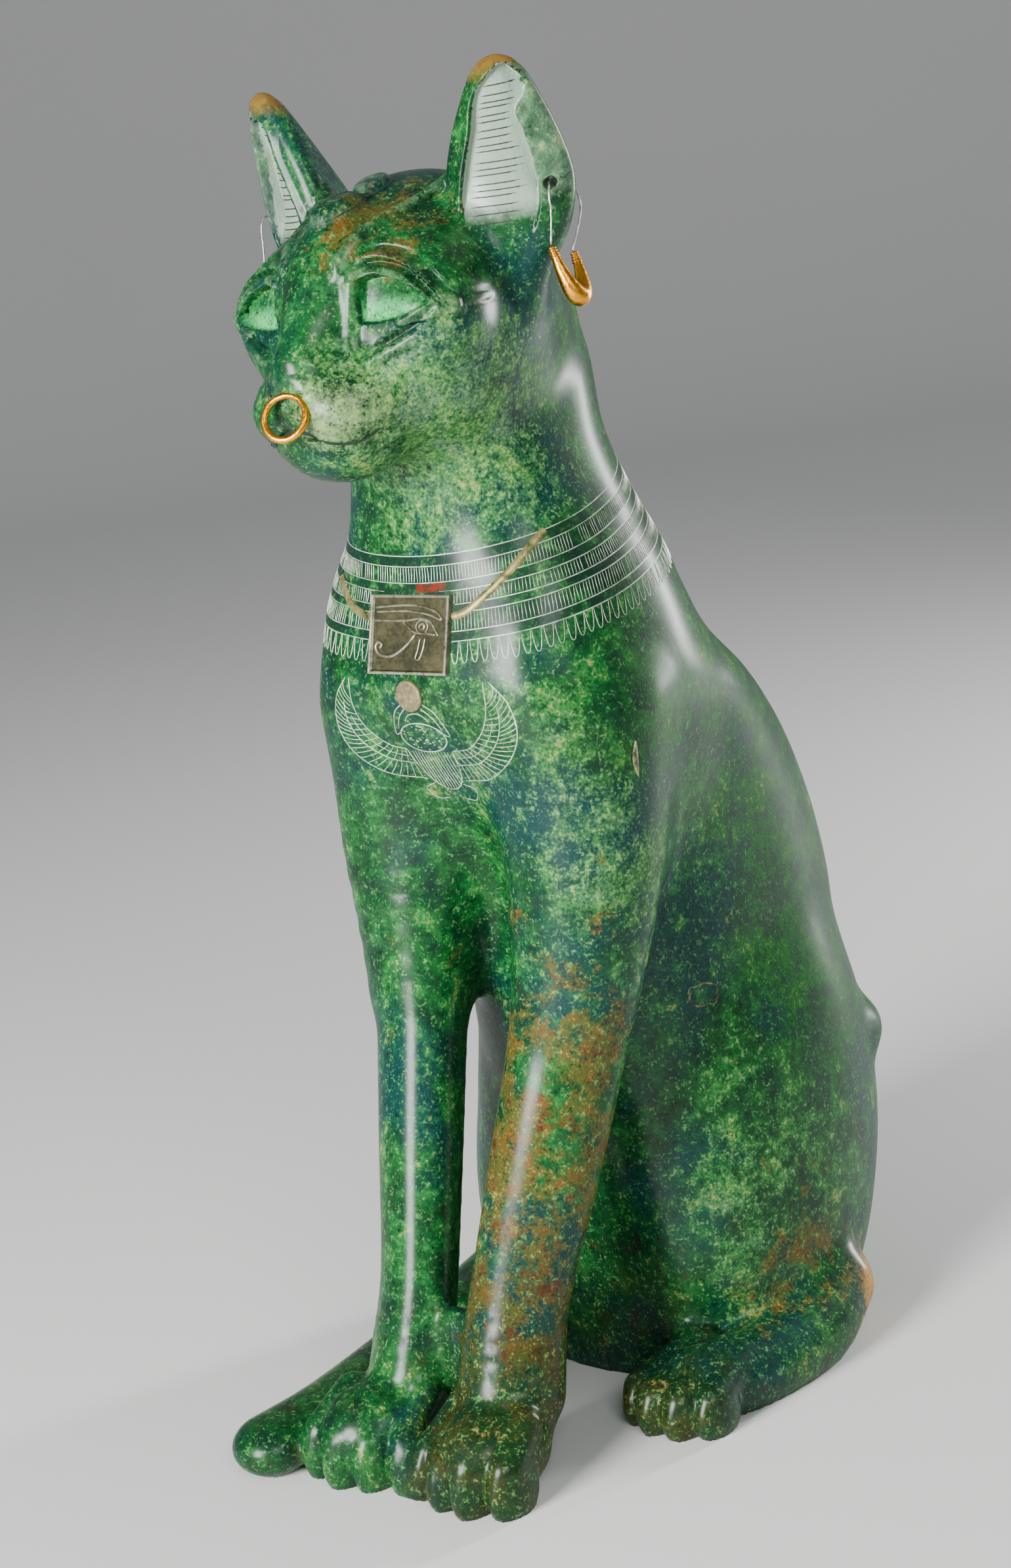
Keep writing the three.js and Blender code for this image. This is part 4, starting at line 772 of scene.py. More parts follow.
class Ridges:
    """Low ridges of mesh along runs of points on the bronze, gathered into one piece."""

    def __init__(self):
        self.vertices, self.faces, self.count = [], [], 0

    def add(self, runs, width, profile=((-0.5, -0.12), (0, 0.13), (0.5, -0.12)), pointed=0.35):
        """Runs are count by points by 3; a profile gives shares of the width and heights."""
        runs = np.asarray(runs, float)
        if runs.ndim == 2:
            runs = runs[None]
        count, length, _ = runs.shape
        normals, _ = slope_at(cat_distance, runs.reshape(-1, 3))
        normals = normals.reshape(runs.shape)
        ahead = np.gradient(runs, axis=1)
        across = np.cross(ahead, normals)
        across /= np.linalg.norm(across, axis=-1, keepdims=True) + 1e-9
        taper = pointed
        if np.isscalar(pointed):
            taper = np.ones(length)
            taper[[0, -1]] = pointed
        rows = [runs + across * (share * width * taper)[:, None] + normals * rise for share, rise in profile]
        columns = len(rows)
        self.vertices.append(np.stack(rows, 2).reshape(-1, 3))
        index = self.count + np.arange(count * length * columns).reshape(count, length, columns)
        a, b = index[:, :-1, :-1], index[:, 1:, :-1]
        c, d = index[:, 1:, 1:], index[:, :-1, 1:]
        self.faces.append(np.stack([a, d, c, b], -1).reshape(-1, 4))
        self.count += count * length * columns

    def piece(self, name, hidden=None):
        """The ridges as one object, without what stands off the bronze or is hidden."""
        vertices, faces = np.concatenate(self.vertices), np.concatenate(self.faces)
        vertices = np.clip(vertices, smallest, largest)
        lying = np.abs(cat_distance(vertices)) < 1
        faces = faces[lying[faces].all(1)]
        if hidden is not None:
            faces = faces[~hidden(vertices[faces].mean(1))]
        used, faces = np.unique(faces, return_inverse=True)
        return new_piece(name, vertices[used], faces.reshape(-1, 4))


plaque_centre, plaque_size = np.array([0, -59.2, 256.0]), np.array([31.0, 23.8])


def under_plaque(p):
    """Which points lie behind the plaque or close round it."""
    beside, above = np.abs(p[:, 0]), np.abs(p[:, 2] - plaque_centre[2])
    return (beside < plaque_size[0] / 2 + 0.5) & (above < plaque_size[1] / 2 + 0.5) & (p[:, 1] < -40)


line_width, tick_width, drop_width = 0.55, 0.38, 0.42
tick_pitch, drop_pitch, drop_half, drop_fall = 1.12, 3.1, 1.35, 6.4
bright = Ridges()
turns = np.linspace(-math.pi, math.pi, 241)
for line in collar_lines:
    bright.add(collar_points(turns, line), line_width, pointed=1)
round_neck = collar_points(turns, collar_lines[4])
lengths = np.concatenate([[0], np.cumsum(np.linalg.norm(np.diff(round_neck, axis=0), axis=1))])
for top, foot in zip(collar_lines[1::2], collar_lines[2::2]):
    ticks = np.arange(0, lengths[-1], tick_pitch)
    ticks = ticks[dice.random(len(ticks)) > 0.05]
    places = np.interp(ticks + dice.normal(0, 0.06, len(ticks)), lengths, turns)
    lean = dice.normal(0, 0.0015, len(ticks))
    ends = np.array([foot, (foot + top) / 2, top]) + np.array([0.35, 0, -0.35])
    bright.add(collar_points(places[:, None] + lean[:, None] * [-1, 0, 1], ends), tick_width)
drops = np.arange(1.4, lengths[-1], drop_pitch)
bend = np.linspace(-1, 1, 9)
reach = drops[:, None] + drop_half * np.sign(bend) * np.abs(bend)**0.8 + dice.normal(0, 0.12, (len(drops), 1))
fall = collar_lines[-1] - drop_fall * (1 - np.abs(bend)**2.4) + dice.normal(0, 0.15, (len(drops), 1))
bright.add(collar_points(np.interp(reach, lengths, turns), fall), drop_width)

# the beetle's wings curve up on both sides, with two rows of feathers
wing_outer = [[28.3, 242.5], [34, 236], [35.6, 227], [31, 218.4], [20, 211.5], [7.5, 209.5]]
wing_inner = [[26.6, 242.4], [26.4, 234], [23, 227], [16, 221.5], [9, 220.2]]


def on_wing(along, across):
    """A place on the wing: along from its tip to its root, across from its inner to its outer edge."""
    along, across = np.broadcast_arrays(along, across)
    edges = []
    for edge in (wing_inner, wing_outer):
        edge = np.array(edge)
        steps = np.linspace(0, 1, len(edge))
        edges.append(np.stack([through(steps, edge[:, 0], along), through(steps, edge[:, 1], along)], -1))
    return edges[0] + (edges[1] - edges[0]) * across[..., None]


def oval(centre, radii, start, end, count):
    """Places along an oval between two angles in degrees."""
    turn = np.radians(np.linspace(start, end, count))
    return np.stack([centre[0] + radii[0] * np.cos(turn), centre[1] + radii[1] * np.sin(turn)], -1)


whole = np.linspace(0, 1, 30)
inner_feathers = np.linspace(0.30, 0.98, 13)[:, None]
outer_feathers = np.linspace(0.04, 0.97, 24)[:, None]
steps = np.linspace(0, 1, 6)
for which in (-1, 1):
    flip = [which, 1]
    for edge, start in ((0, 0), (1, 0), (0.48, 0.22)):
        bright.add(breast_points(on_wing(start + (1 - start) * whole, edge) * flip), 0.62)
    lean = 0.16 * (1 - outer_feathers)
    from_edge = np.clip((outer_feathers - 0.05) * 2.2, 0.05, 0.48)
    feathers = on_wing(outer_feathers + lean * (1 - steps), from_edge + (1 - from_edge) * steps)
    bright.add(breast_points(feathers * flip), 0.45)
    bright.add(breast_points(on_wing(inner_feathers + 0.05 * (1 - steps), 0.48 * steps) * flip), 0.42)
    bright.add(breast_points(on_wing(0.35 + 0.62 * whole, 0.24) * flip), 0.40)
    foreleg_line = [[4.2, 235.6], [8.2, 232.4], [10.6, 225.4], [6.6, 227.2]]
    hind_leg_line = [[5.5, 208.2], [9.8, 206.2], [7.6, 202.6], [3, 202.8]]
    inner_leg = [[3.2, 234.2], [6.6, 231.2], [8.6, 227.4]]
    for leg in (foreleg_line, hind_leg_line, inner_leg):
        bright.add(breast_points(smooth_run(leg, 12) * flip), 0.55)
    stripes = np.arange(1.1, 7.8, 1.15)[:, None]
    foot = 206.6 + 7.5 * (stripes / 8.6)**3
    wing_case = np.stack(np.broadcast_arrays(stripes, foot + (219.8 - foot) * steps), -1)
    bright.add(breast_points(wing_case * flip), 0.42)
bright.add(breast_points(oval((0, 224.6), (8.8, 4.8), 0, 360, 36)), 0.65, pointed=1)
bright.add(breast_points(oval((0, 229.2), (4.6, 3.4), 10, 170, 12)), 0.5)
bright.add(breast_points(oval((0, 219.4), (8.6, 13.4), 180, 360, 26)), 0.65)
bright.add(breast_points([[0, 219.8 - 2.2 * i] for i in range(7)]), 0.55)
angle, radius = dice.uniform(0, 2 * math.pi, 46), np.sqrt(dice.uniform(0, 0.8, 46))
dots = np.stack([8.6 * radius * np.cos(angle), 224.6 + 4.6 * radius * np.sin(angle)], -1)
bright.add(breast_points(dots[:, None] + np.array([[-0.3, 0.1], [0, 0], [0.3, -0.1]])), 0.45)
cut_lines = bright.piece("engraved_lines", under_plaque)
cut_look, shader, place = start_material("bright_cuts", 0.35, 0.42)
worn = place.noise(14, 5, 0.7, 0.0, (3.1, 0.2, 1.7)) * 0.6 + place.noise(2.5, 3, 0.6) * 0.4
colour = worn.over(0.42, 0.56).blend((0.26, 0.36, 0.22), (0.62, 0.66, 0.55))
colour = (worn.over(0.42, 0.34) * 0.85).blend(colour, (0.05, 0.16, 0.06))
feed(colour, shader, "Base Color")
feed(0.34 + worn * 0.3, shader, "Roughness")
finish(cut_lines, cut_look)


# The darker cuts are dark ridges of mesh: hatching inside the ears, the crack at the ear's hole, the mouth,
# the claws, and the outlines of the small beetle on the crown.
hatches = 19
dark = Ridges()


def cut_claws(toes, which, shoulder, tip, front, reach):
    """A fine cut round the claw at the end of each toe."""
    for x, _, _ in toes:
        claw = np.array([[x - 1.7, 1.2], [x - 1.4, shoulder], [x, tip], [x + 1.4, shoulder], [x + 1.7, 1.2]])
        starts = np.stack([claw[:, 0] * which, 0 * claw[:, 0] + front, claw[:, 1]], -1)
        dark.add(first_hit(starts, [0, 1, 0], reach), 0.55)


def on_crown(places):
    """Points on the top of the head straight below places given as across and along."""
    return first_hit(np.column_stack([places, np.full(len(places), 405)]), [0, 0, -1], 45)


for which in (-1, 1):
    up = np.linspace(1.5, 38, hatches)
    low, high = through(rim_up, rim, up), through(flap_up, flap, up)
    share = np.linspace(0.10, 0.82, 7)
    across = low[:, None] + (high - low)[:, None] * share * dice.uniform(0.86, 1.04, (hatches, 1))
    rising = up[:, None] + 0.9 * (share - 0.5) + dice.normal(0, 0.25, (hatches, 1))
    dark.add(ear_points(across, rising, which), 0.75, pointed=0.2)
    dark.add(ear_points(np.linspace(16.2, 20.5, 5), np.array([11.2, 11.9, 11.4, 12.4, 12.2]), which), 0.5)
    lips = smooth_run(mouth, 30) * [which, 1, 1]
    lips[:, 1] = -115
    dark.add(first_hit(lips, [0, 1, 0], 60), 1.0, ((-0.5, 0.34), (0, 0.26), (0.5, 0.34)), 0.4)
    cut_claws(fore_toes[1:], which, 4.5, 6.2, -138, 60)
cut_claws(hind_toes, 1, 4.2, 5.8, -64, 40)
for centre, radii in (((0, -65.5), (7.4, 9.9)), ((0, -49.5), (5.9, 6.3))):
    dark.add(on_crown(oval(centre, radii, 0, 360, 40)), 1.0, pointed=1)
beetle_back = [[0, -57], [0, -62], [0, -67], [0, -73]]
beetle_head = [[-6.5, -68], [-3, -70], [0, -70.6], [3, -70], [6.5, -68]]
beetle_neck = [[-5.6, -59.5], [-2.5, -61.2], [0, -61.6], [2.5, -61.2], [5.6, -59.5]]
for run in (beetle_back, beetle_head, beetle_neck):
    dark.add(on_crown(smooth_run(run, 12)), 0.8)
dark_cut_lines = dark.piece("dark_cut_lines")
dark_cut_look, shader, place = start_material("dark_cuts", 0.1, 0.6)
colour = place.noise(3, 3).over(0.4, 0.6).blend((0.003, 0.012, 0.007), (0.010, 0.034, 0.018))
feed(colour, shader, "Base Color")
finish(dark_cut_lines, dark_cut_look)


# The straps of the plaque's necklace are strips of yellowish metal. They are hammered into grooves in
# the bronze and stand a little proud of it.
strap_left = [[-34.5, 271.5], [-30, 267], [-25, 263.2], [-20, 261.4], [-15.6, 260.8]]
strap_right = [[15.6, 261.2], [20, 262.4], [24.5, 265.6], [29, 269.4], [33, 273.7], [36, 278.2],
               [38.6, 283]]
strap_width = 2.7
straps = Ridges()
strap_profile = ((-0.5, -0.15), (-0.42, 0.28), (0, 0.42), (0.42, 0.28), (0.5, -0.15))
for run in (strap_left, strap_right):
    straps.add(breast_points(smooth_run(run, 30)), strap_width, strap_profile, 0.8)
inlaid_straps = straps.piece("inlaid_straps")
strap_look, shader, place = start_material("strap_metal", 0.6, 0.42)
worn = place.noise(5, 5, 0.7)
colour = worn.over(0.4, 0.62).blend((0.13, 0.105, 0.025), (0.36, 0.32, 0.13))
colour = (worn.over(0.46, 0.38) * 0.8).blend(colour, (0.03, 0.09, 0.03))
feed(colour, shader, "Base Color")
bump(worn, shader, 0.2)
finish(inlaid_straps, strap_look)


# The plaque is a tarnished silver plate let into the breast, with a pale raised edge and the eye of
# Horus embossed in its field.
plaque_proud, plaque_edge, plaque_field, plaque_bevel = 1.1, 1.1, 0.6, 0.18
plaque_lean = math.radians(15.7)
plaque_up = np.array([0, math.sin(plaque_lean), math.cos(plaque_lean)])
plaque_out = np.array([0, -math.cos(plaque_lean), math.sin(plaque_lean)])


def on_plaque(across, up, out):
    across, up, out = np.broadcast_arrays(across, up, out)
    return (plaque_centre + np.multiply.outer(across, [1, 0, 0]) + np.multiply.outer(up, plaque_up)
            + np.multiply.outer(out, plaque_out))


rings = []
corner = [(-1, -1), (1, -1), (1, 1), (-1, 1)]
for inset, out in ((0.0, -1.4), (0.0, plaque_proud - 0.25), (0.25, plaque_proud),
                   (plaque_edge - 0.2, plaque_proud), (plaque_edge + 0.15, plaque_field)):
    half = plaque_size / 2 - inset
    rings.append([on_plaque(a * half[0], b * half[1], out) for a, b in corner])
count = len(rings)
vertices = np.array(rings).reshape(-1, 3)
faces = [[4 * i + j, 4 * i + (j + 1) % 4, 4 * i + 4 + (j + 1) % 4, 4 * i + 4 + j]
         for i in range(count - 1) for j in range(4)]
faces += [[4 * count - 4, 4 * count - 3, 4 * count - 2, 4 * count - 1], [3, 2, 1, 0]]
plaque = new_piece("silver_plaque", vertices, faces)
only(plaque)
bevel = plaque.modifiers.new("rounded", "BEVEL")
bevel.width, bevel.segments, bevel.limit_method = plaque_bevel / 1000, 2, "ANGLE"
bpy.ops.object.modifier_apply(modifier="rounded")

# the eye: a brow, the lids round a ball with its pupil, a tear mark and a curled tail
eye_runs = [
    ([[-13.1, 8.0], [-2.4, 8.7], [4.1, 8.5], [10.6, 6.8], [13.1, 4.6]], 0.8),
    ([[-12.6, 6.7], [-0.8, 7.0], [7.3, 6.1], [12.8, 4.4]], 0.8),
    ([[-13.6, 4.1], [-0.8, 4.2], [4.1, 4.8], [8.2, 4.0], [10.6, 1.5], [11.8, -0.2]], 0.9),
    ([[-2.4, 3.8], [2.4, 0.8], [7.3, 0.4], [10.6, 0.1]], 0.8),
    ([[2.9, 0.1], [-0.8, -3.5], [-5.7, -6.4], [-10.6, -6.2], [-12.6, -4.1], [-11.8, -2.4], [-10.2, -3.0],
      [-10.8, -4.2]], 1.0),
    ([[4.9, -1.0], [4.1, -4.7], [3.4, -7.0], [5.0, -7.0], [6.4, -3.5], [6.8, -1.0]], 0.8),
]


def rounded_tube(path, radii, sides, closed=False):
    """A round bar along a path of points, with bluntly pointed ends unless it is closed."""
    path = np.asarray(path, float)
    radii = np.broadcast_to(radii, len(path))
    ahead = np.gradient(path, axis=0) if not closed else np.roll(path, -1, 0) - np.roll(path, 1, 0)
    ahead /= np.linalg.norm(ahead, axis=1)[:, None]
    up = np.cross(ahead[0], [0.3, 0.5, 0.81])
    rows = []
    for place, way, radius in zip(path, ahead, radii):
        up = up - way * (up @ way)
        up /= np.linalg.norm(up)
        turn = np.linspace(0, 2 * math.pi, sides, endpoint=False)[:, None]
        rows.append(place + radius * (np.cos(turn) * up + np.sin(turn) * np.cross(way, up)))
    count = len(rows)
    vertices = np.concatenate(rows)
    faces = []
    for i in range(count - (not closed)):
        ring, after = i * sides, (i + 1) % count * sides
        for j in range(sides):
            faces.append([ring + j, ring + (j + 1) % sides, after + (j + 1) % sides, after + j])
    if not closed:
        tips = np.array([path[0] - ahead[0] * radii[0] * 0.5, path[-1] + ahead[-1] * radii[-1] * 0.5])
        first, last, end = len(vertices), len(vertices) + 1, (count - 1) * sides
        vertices = np.concatenate([vertices, tips])
        faces += [[first, (j + 1) % sides, j] for j in range(sides)]
        faces += [[last, end + j, end + (j + 1) % sides] for j in range(sides)]
    return vertices, faces


def gathered(parts):
    """Several lots of vertices and faces as one."""
    vertices, faces, count = [], [], 0
    for points, rings in parts:
        vertices.append(points)
        faces += [[count + i for i in ring] for ring in rings]
        count += len(points)
    return np.concatenate(vertices), faces


parts = []
for run, width in eye_runs:
    run = smooth_run(run, 26)
    parts.append(rounded_tube(on_plaque(run[:, 0], run[:, 1], plaque_field + 0.12), width / 2, 8))
turn = np.linspace(0, 2 * math.pi, 24, endpoint=False)
for radius, bar in ((2.3, 0.30), (1.0, 0.45)):
    ring = on_plaque(5.3 + radius * np.cos(turn), 2.4 + 0.85 * radius * np.sin(turn), plaque_field + 0.05)
    parts.append(rounded_tube(ring, bar, 8, closed=True))
emblem = new_piece("embossed_eye", *gathered(parts))
silver, shader, place = start_material("tarnished_silver", 0.6, 0.4)
tarnish = place.noise(7, 6, 0.7) * 0.7 + place.noise(1.2, 3, 0.6) * 0.3
across, _, above = place.axes()
colour = tarnish.over(0.38, 0.64).blend((0.014, 0.014, 0.004), (0.080, 0.074, 0.030))
edge = across.over(-13.9, -14.6).math("MAXIMUM", above.over(245.7, 245.1))
dull_edge = across.over(13.9, 14.6).math("MAXIMUM", above.over(266.4, 266.9))
edge = edge.math("MAXIMUM", dull_edge * 0.45)
colour = (edge * tarnish.over(0.36, 0.52) * 0.8).blend(colour, (0.42, 0.41, 0.30))
feed(colour, shader, "Base Color")
feed(0.38 + tarnish * 0.30, shader, "Roughness")
bump(tarnish, shader, 0.15)
rubbed_silver, shader, place = start_material("rubbed_silver", 0.8, 0.32)
tarnish = place.noise(4, 5, 0.7)
feed(tarnish.over(0.38, 0.60).blend((0.13, 0.12, 0.06), (0.44, 0.42, 0.30)), shader, "Base Color")
finish(plaque, silver, "wedjat_plaque", smooth=False)
finish(emblem, rubbed_silver)


# The sun disc above the beetle is a small round of pale worn metal, slightly domed. It is let into a
# recess in the breast.
disc_centre, disc_radius, disc_lean = np.array([0, -62.9, 238.3]), 4.9, math.radians(4)
disc_up = np.array([0, -math.sin(disc_lean), math.cos(disc_lean)])
disc_out = np.array([0, -math.cos(disc_lean), -math.sin(disc_lean)])
sides = 40
turn = np.linspace(0, 2 * math.pi, sides, endpoint=False)
rows = []
for share, out in ((1, -1.2), (1, 0.55), (0.97, 0.8), (0.9, 0.95), (0.7, 1.04), (0.4, 1.09), (0.15, 1.1)):
    rows.append(disc_centre + disc_out * out + disc_radius * share * (
        np.multiply.outer(np.cos(turn), [1, 0, 0]) + np.multiply.outer(np.sin(turn), disc_up)))
vertices = np.concatenate(rows)
faces = [[i * sides + j, i * sides + (j + 1) % sides, (i + 1) * sides + (j + 1) % sides, (i + 1) * sides + j]
         for i in range(len(rows) - 1) for j in range(sides)]
faces += [list(range((len(rows) - 1) * sides, len(rows) * sides)), list(range(sides))[::-1]]
disc = new_piece("sun_disc_face", vertices, faces)
disc_look, shader, place = start_material("worn_disc", 0.35, 0.45)
pits = place.noise(3, 6, 0.75) * 0.7 + place.noise(0.9, 3, 0.6) * 0.3
colour = pits.over(0.36, 0.62).blend((0.09, 0.075, 0.03), (0.30, 0.25, 0.13))
colour = (pits.over(0.56, 0.64) * 0.5).blend(colour, (0.44, 0.40, 0.27))
feed(colour, shader, "Base Color")
bump(pits, shader, 0.35)
finish(disc, disc_look, "sun_disc")


# The nose ring is a gold wire, hammered round, with its ends brought together. It hangs through the
# septum with its foot forward.
ring_lean, ring_turn, ring_radius = math.radians(24), math.radians(19), 6.4
ring_across = np.array([math.cos(ring_turn), math.sin(ring_turn), 0])
ring_forward = np.array([math.sin(ring_turn), -math.cos(ring_turn), 0])
ring_up = np.array([0, 0, math.cos(ring_lean)]) - ring_forward * math.sin(ring_lean)
ring_centre = np.array([0.8, -97.4, 332.4]) - ring_up * ring_radius
turn = np.linspace(0, 2 * math.pi, 72, endpoint=False)
path = ring_centre + ring_radius * (np.multiply.outer(np.cos(turn), ring_across)
                                    + np.multiply.outer(np.sin(turn), ring_up))
thickness = 1.08 + 0.02 * np.sin(5 * turn + 1) - 0.16 * np.clip(np.sin(turn), 0, 1)
nose_ring = new_piece("gold_nose_ring", *rounded_tube(path, thickness, 16, closed=True))
gold, shader, place = start_material("old_gold", 1.0, 0.24)
rubbed = place.noise(5, 5, 0.65) * 0.6 + place.noise(1.1, 3, 0.6) * 0.4
colour = rubbed.over(0.38, 0.6).blend((0.52, 0.19, 0.012), (0.90, 0.42, 0.035))
colour = (rubbed.over(0.40, 0.33) * 0.6).blend(colour, (0.20, 0.07, 0.01))
feed(colour, shader, "Base Color")
feed(0.16 + rubbed * 0.26, shader, "Roughness")
bump(rubbed, shader, 0.25)
finish(nose_ring, gold, "nose_ring")


# Each earring is a hollow gold crescent, thick below and narrow above. Its two ends are bound with
# fine gold wire.
hole_centre = ear_foot + ear_side * ear_hole[0] + ear_axis * ear_hole[1]
crescent_top = hole_centre + [3.4, -4.3, -19.8]
crescent_side = np.array([0, 0.97, -0.24]) / np.linalg.norm([0, 0.97, -0.24])
crescent_down = np.array([0.345, -0.065, -0.936]) / np.linalg.norm([0.345, -0.065, -0.936])
crescent_spread, crescent_drop, crescent_thick, crescent_tip = 10, 13.9, 6, 1.8
bands, band_pitch, band_wire = 4, 0.06, 0.22


def on_crescent(turn):
    return (crescent_top - np.multiply.outer(np.cos(turn), crescent_side) * crescent_spread / 2
            + np.multiply.outer(np.sin(turn), crescent_down) * crescent_drop)


def crescent_radius(turn):
    return crescent_tip / 2 + (crescent_thick - crescent_tip) / 2 * np.clip(np.sin(turn), 0, 1)**1.2


for which, side_name in ((1, "left"), (-1, "right")):
    flip = [which, 1, 1]
    turn = np.linspace(0, math.pi, 40)
    parts = [rounded_tube(on_crescent(turn), crescent_radius(turn) * 0.99, 18)]
    for start in (0.03, math.pi - 0.21):
        for i in range(bands):
            at = start + band_pitch * i
            middle, ahead = on_crescent(at), on_crescent(at + 0.01) - on_crescent(at)
            ahead /= np.linalg.norm(ahead)
            up = np.cross(ahead, [0.2, 0.9, 0.1])
            up /= np.linalg.norm(up)
            around = np.linspace(0, 2 * math.pi, 16, endpoint=False)
            out = np.outer(np.cos(around), up) + np.outer(np.sin(around), np.cross(ahead, up))
            band = middle + (crescent_radius(at) + 0.05) * out
            parts.append(rounded_tube(band, band_wire, 8, closed=True))
    vertices, faces = gathered(parts)
    if which < 0:
        faces = [list(ring)[::-1] for ring in faces]
    earring = new_piece(f"gold_{side_name}_earring", vertices * flip, faces)
    finish(earring, gold, f"{side_name}_earring")


# The wires are thin drawn silver, kinked where they were bent by hand, from one end of each crescent up
# through the ear's hole and down behind the ear to its other end.
def on_ear(across, up, out):
    return ear_foot + ear_side * across + ear_axis * up + ear_face * out


wire_radius, wire_clear, wire_points, in_hole = 0.24, 0.75, 44, slice(18, 27)
stops = np.array([
    on_crescent(0) - crescent_down * wire_clear, on_ear(14.9, 3, 10.5),
    on_ear(ear_hole[0], ear_hole[1], 7.6),
    on_ear(ear_hole[0], ear_hole[1], 0), on_ear(ear_hole[0], ear_hole[1], -7.6), on_ear(20.4, 2.5, -4),
    on_crescent(math.pi) - crescent_down * wire_clear])
path = smooth_run(stops, wire_points)
bend = np.clip(np.sin(np.linspace(0, math.pi, wire_points)), 0, 1)
kinks = bend[:, None] * dice.normal(0, 0.10, (wire_points, 3))
kinks[in_hole] = 0
silver_wire, shader, place = start_material("drawn_silver", 0.95, 0.3)
dull = place.noise(2, 4, 0.6)
feed(dull.over(0.35, 0.65).blend((0.30, 0.28, 0.23), (0.72, 0.70, 0.64)), shader, "Base Color")
feed(0.2 + dull * 0.25, shader, "Roughness")
for which, side_name in ((1, "left"), (-1, "right")):
    vertices, faces = rounded_tube(path + kinks, wire_radius, 10)
    if which < 0:
        faces = [list(ring)[::-1] for ring in faces]
    wire = new_piece(f"silver_{side_name}_wire", vertices * [which, 1, 1], faces)
    finish(wire, silver_wire, f"{side_name}_earring_wire")


# A pale green crust of corrosion has swollen on both sides of the nose ring, where the ring goes into
# the septum. It is grown onto the bronze and wasn't made.
lumps = []
for centre, radii in (([-2.6, -96.2, 332.6], [1.3, 1.0, 1.2]), ([3.6, -95.2, 332.2], [1.4, 1.1, 1.3])):
    bpy.ops.mesh.primitive_uv_sphere_add(segments=20, ring_count=12, radius=1)
    lump = bpy.context.object
    lump.name = f"corrosion_{len(lumps) + 1}"
    ball = points_of(lump)
    wobble = 1 + 0.12 * np.sin(ball @ [5, 3, 4] + len(lumps))[:, None]
    lump.data.vertices.foreach_set("co", ((ball * wobble * radii + centre) * unit).ravel())
    lumps.append(lump)
crust, shader, place = start_material("pale_corrosion", 0.0, 0.75)
crumbs = place.noise(1.4, 5, 0.7)
feed(crumbs.over(0.38, 0.62).blend((0.10, 0.32, 0.16), (0.45, 0.62, 0.38)), shader, "Base Color")
bump(crumbs, shader, 0.5)
for lump in lumps:
    finish(lump, crust)


# Two old repairs are of paler metal, hammered in and rubbed level: a narrow plug in the left shoulder,
# and a small square patch on the haunch whose seam shows.
repairs = Ridges()
rise = np.linspace(-1, 1, 15)
plug_centre, plug_way = np.array([58.7, -33.7, 214.1]), np.array([-0.86, 0.5, 0])
plug_half, plug_width, seam_width, seam_points = 5.4, 2.3, 1.2, 33
plug_points = plug_centre - plug_way * 12 + np.outer(rise * plug_half, [0.02, 0.03, 1])
plug_points += np.outer(0.5 * rise**2, [0.5, 0.86, 0])
plug_taper = 0.12 + np.cos(rise * math.pi / 2) * 0.88
repairs.add(first_hit(plug_points, plug_way, 24), plug_width, strap_profile, plug_taper)
patch_centre = np.array([45.8, 3.0, 127.6])
patch_corners = np.array([[-4, -2.6], [4, -3.2], [4.6, 2.4], [-3.6, 3.2], [-4, -2.6]])
run, step = smooth_run(patch_corners, seam_points), np.arange(seam_points)
run += 0.28 * np.stack([np.sin(step * 1.9), np.cos(step * 1.3)], -1)
starts = patch_centre + [14, 0, 0] + np.outer(run[:, 0], [0, 1, 0]) + np.outer(run[:, 1], [0, 0, 1])
seam_taper = 0.25 + 0.75 * np.abs(np.sin(step * 0.37 + 0.6))
repairs.add(first_hit(starts, [-1, 0, 0], 28), seam_width, pointed=seam_taper)
repair_metal, shader, place = start_material("repair_metal", 0.3, 0.5)
crumbs = place.noise(3, 5, 0.7)
feed(crumbs.over(0.42, 0.58).blend((0.035, 0.040, 0.012), (0.24, 0.22, 0.10)), shader, "Base Color")
bump(crumbs, shader, 0.3)
finish(repairs.piece("repairs"), repair_metal)


# The floor is a plain pale sheet that curves up behind the cat. A broad soft light stands in front, a
# larger one high at its left front and a narrow one low behind its left side. The camera looks a
# little down on the cat from its left front.
floor_ahead, floor_half, curve_start, curve_size, wall_top = 4000, 7000, 2600, 1800, 6000
curve = np.radians(np.linspace(0, 90, 25))
run_back = np.concatenate([[-floor_ahead, 0], curve_start + curve_size * np.sin(curve),
                           [curve_start + curve_size]])
run_up = np.concatenate([[0, 0], curve_size * (1 - np.cos(curve)), [wall_top]])
azimuth, elevation, roll = math.radians(40.7), math.radians(13.1), math.radians(-7.39)
away = np.array([-math.sin(azimuth), math.cos(azimuth), 0])
across = np.array([math.cos(azimuth), math.sin(azimuth), 0])
spine = np.outer(run_back, away) + np.outer(run_up, [0, 0, 1])
count = len(spine)
floor = new_piece("floor", np.concatenate([spine - across * floor_half, spine + across * floor_half]),
                  [[i, i + 1, count + i + 1, count + i] for i in range(count - 1)], 0.001)
floor.data.flip_normals()
only(floor)
bpy.ops.object.shade_smooth()
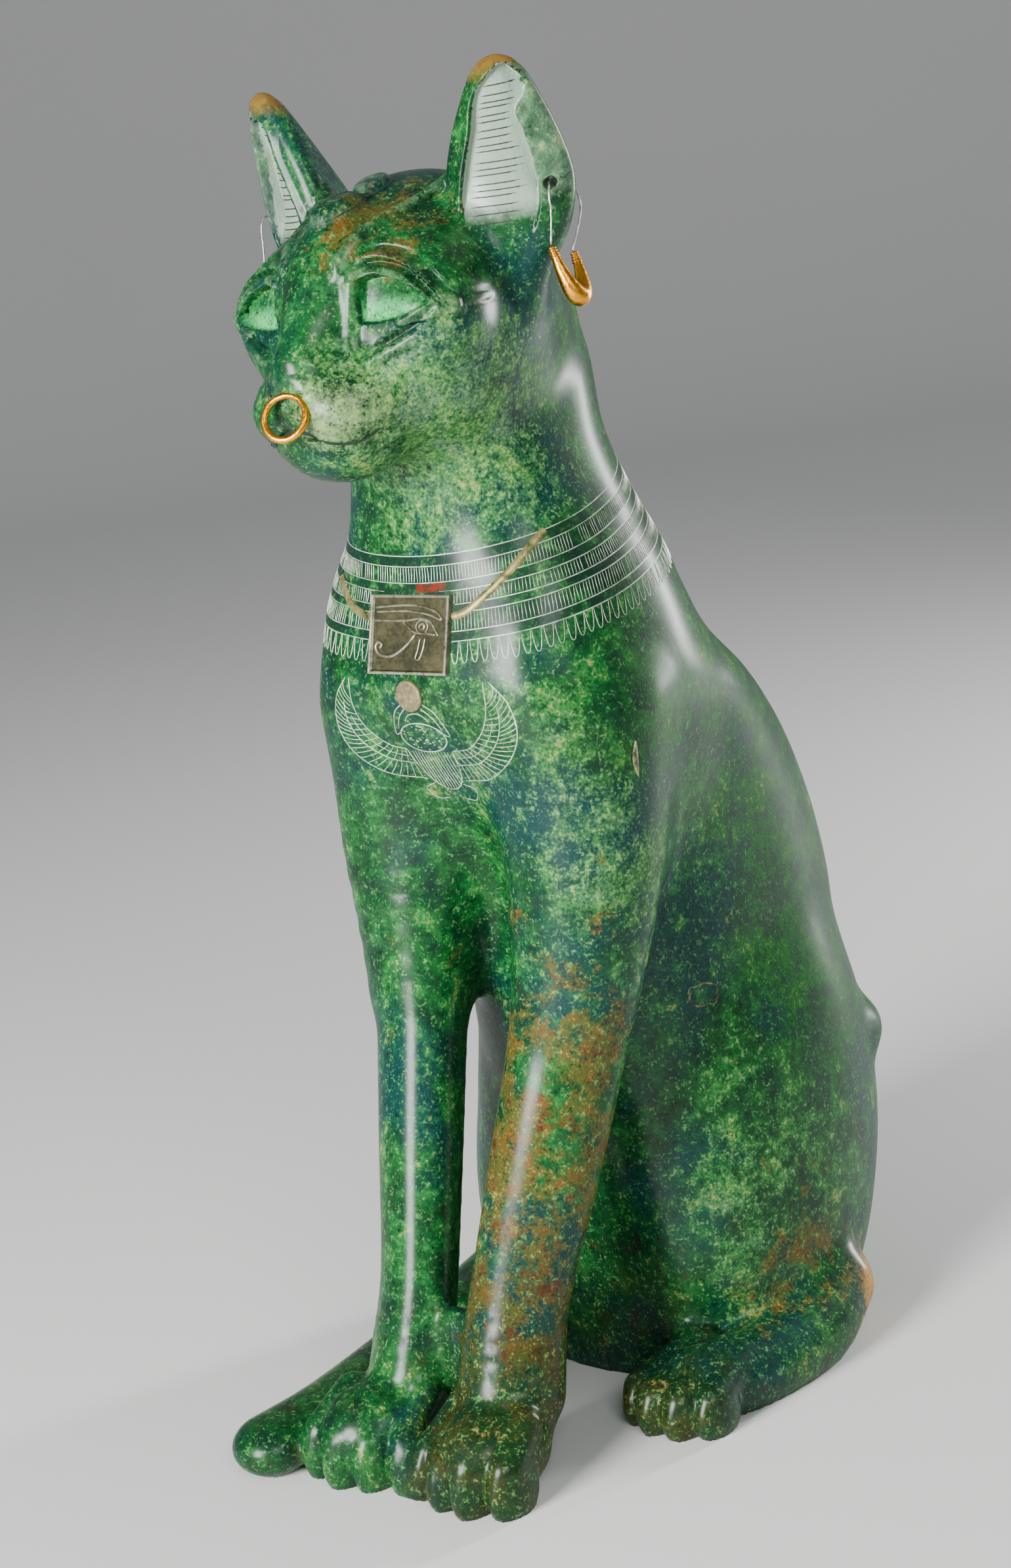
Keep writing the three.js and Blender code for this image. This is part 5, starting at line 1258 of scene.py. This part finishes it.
floor_look, shader, place = start_material("pale_floor", 0.0, 0.7)
feed(place.noise(900, 2).blend((0.72, 0.72, 0.70), (0.78, 0.78, 0.76)), shader, "Base Color")
floor.data.materials.append(floor_look)
floor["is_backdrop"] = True


def soft_light(name, at, towards, size, power, colour=(1, 1, 1)):
    data = bpy.data.lights.new(name, "AREA")
    data.shape, data.size, data.size_y, data.energy, data.color = "RECTANGLE", size[0], size[1], power, colour
    lamp = bpy.data.objects.new(name, data)
    bpy.context.collection.objects.link(lamp)
    lamp.location = at
    lamp.rotation_euler = (Vector(towards) - Vector(at)).to_track_quat("-Z", "Y").to_euler()


soft_light("key_light", (-0.06, -1.33, 0.56), (0, -0.03, 0.24), (0.46, 0.56), 44)
soft_light("side_light", (1.2, -0.9, 1.1), (0, 0, 0.2), (0.7, 0.7), 10)
soft_light("back_light", (0.42, 1.15, 0.42), (0, 0, 0.2), (0.10, 0.7), 17)
world = bpy.data.worlds.new("studio")
bpy.context.scene.world = world
world.use_nodes = True
world.node_tree.nodes["Background"].inputs["Color"].default_value = (0.80, 0.83, 0.86, 1)
world.node_tree.nodes["Background"].inputs["Strength"].default_value = 0.33

camera = bpy.data.objects.new("camera", bpy.data.cameras.new("camera"))
bpy.context.collection.objects.link(camera)
bpy.context.scene.camera = camera
target, distance = Vector((-0.008, -0.015, 0.199)), 0.828
back = Vector((math.sin(azimuth) * math.cos(elevation), -math.cos(azimuth) * math.cos(elevation),
               math.sin(elevation)))
turn = back.to_track_quat("Z", "Y").to_matrix() @ Matrix.Rotation(roll, 3, "Z")
camera.location = target + back * distance
camera.rotation_euler = turn.to_euler()
# the focal length and the shift are in pixels of the photograph, which is frame_height pixels high
frame_height, focal_pixels, shift_pixels = 2389, 4000, (-1, -4)
camera.data.sensor_width = 36
camera.data.lens = camera.data.sensor_width * (focal_pixels / frame_height)
camera.data.shift_x, camera.data.shift_y = [pixels / frame_height for pixels in shift_pixels]
camera.data.clip_start, camera.data.clip_end = 0.05, 30

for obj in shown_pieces():
    obj.select_set(False)
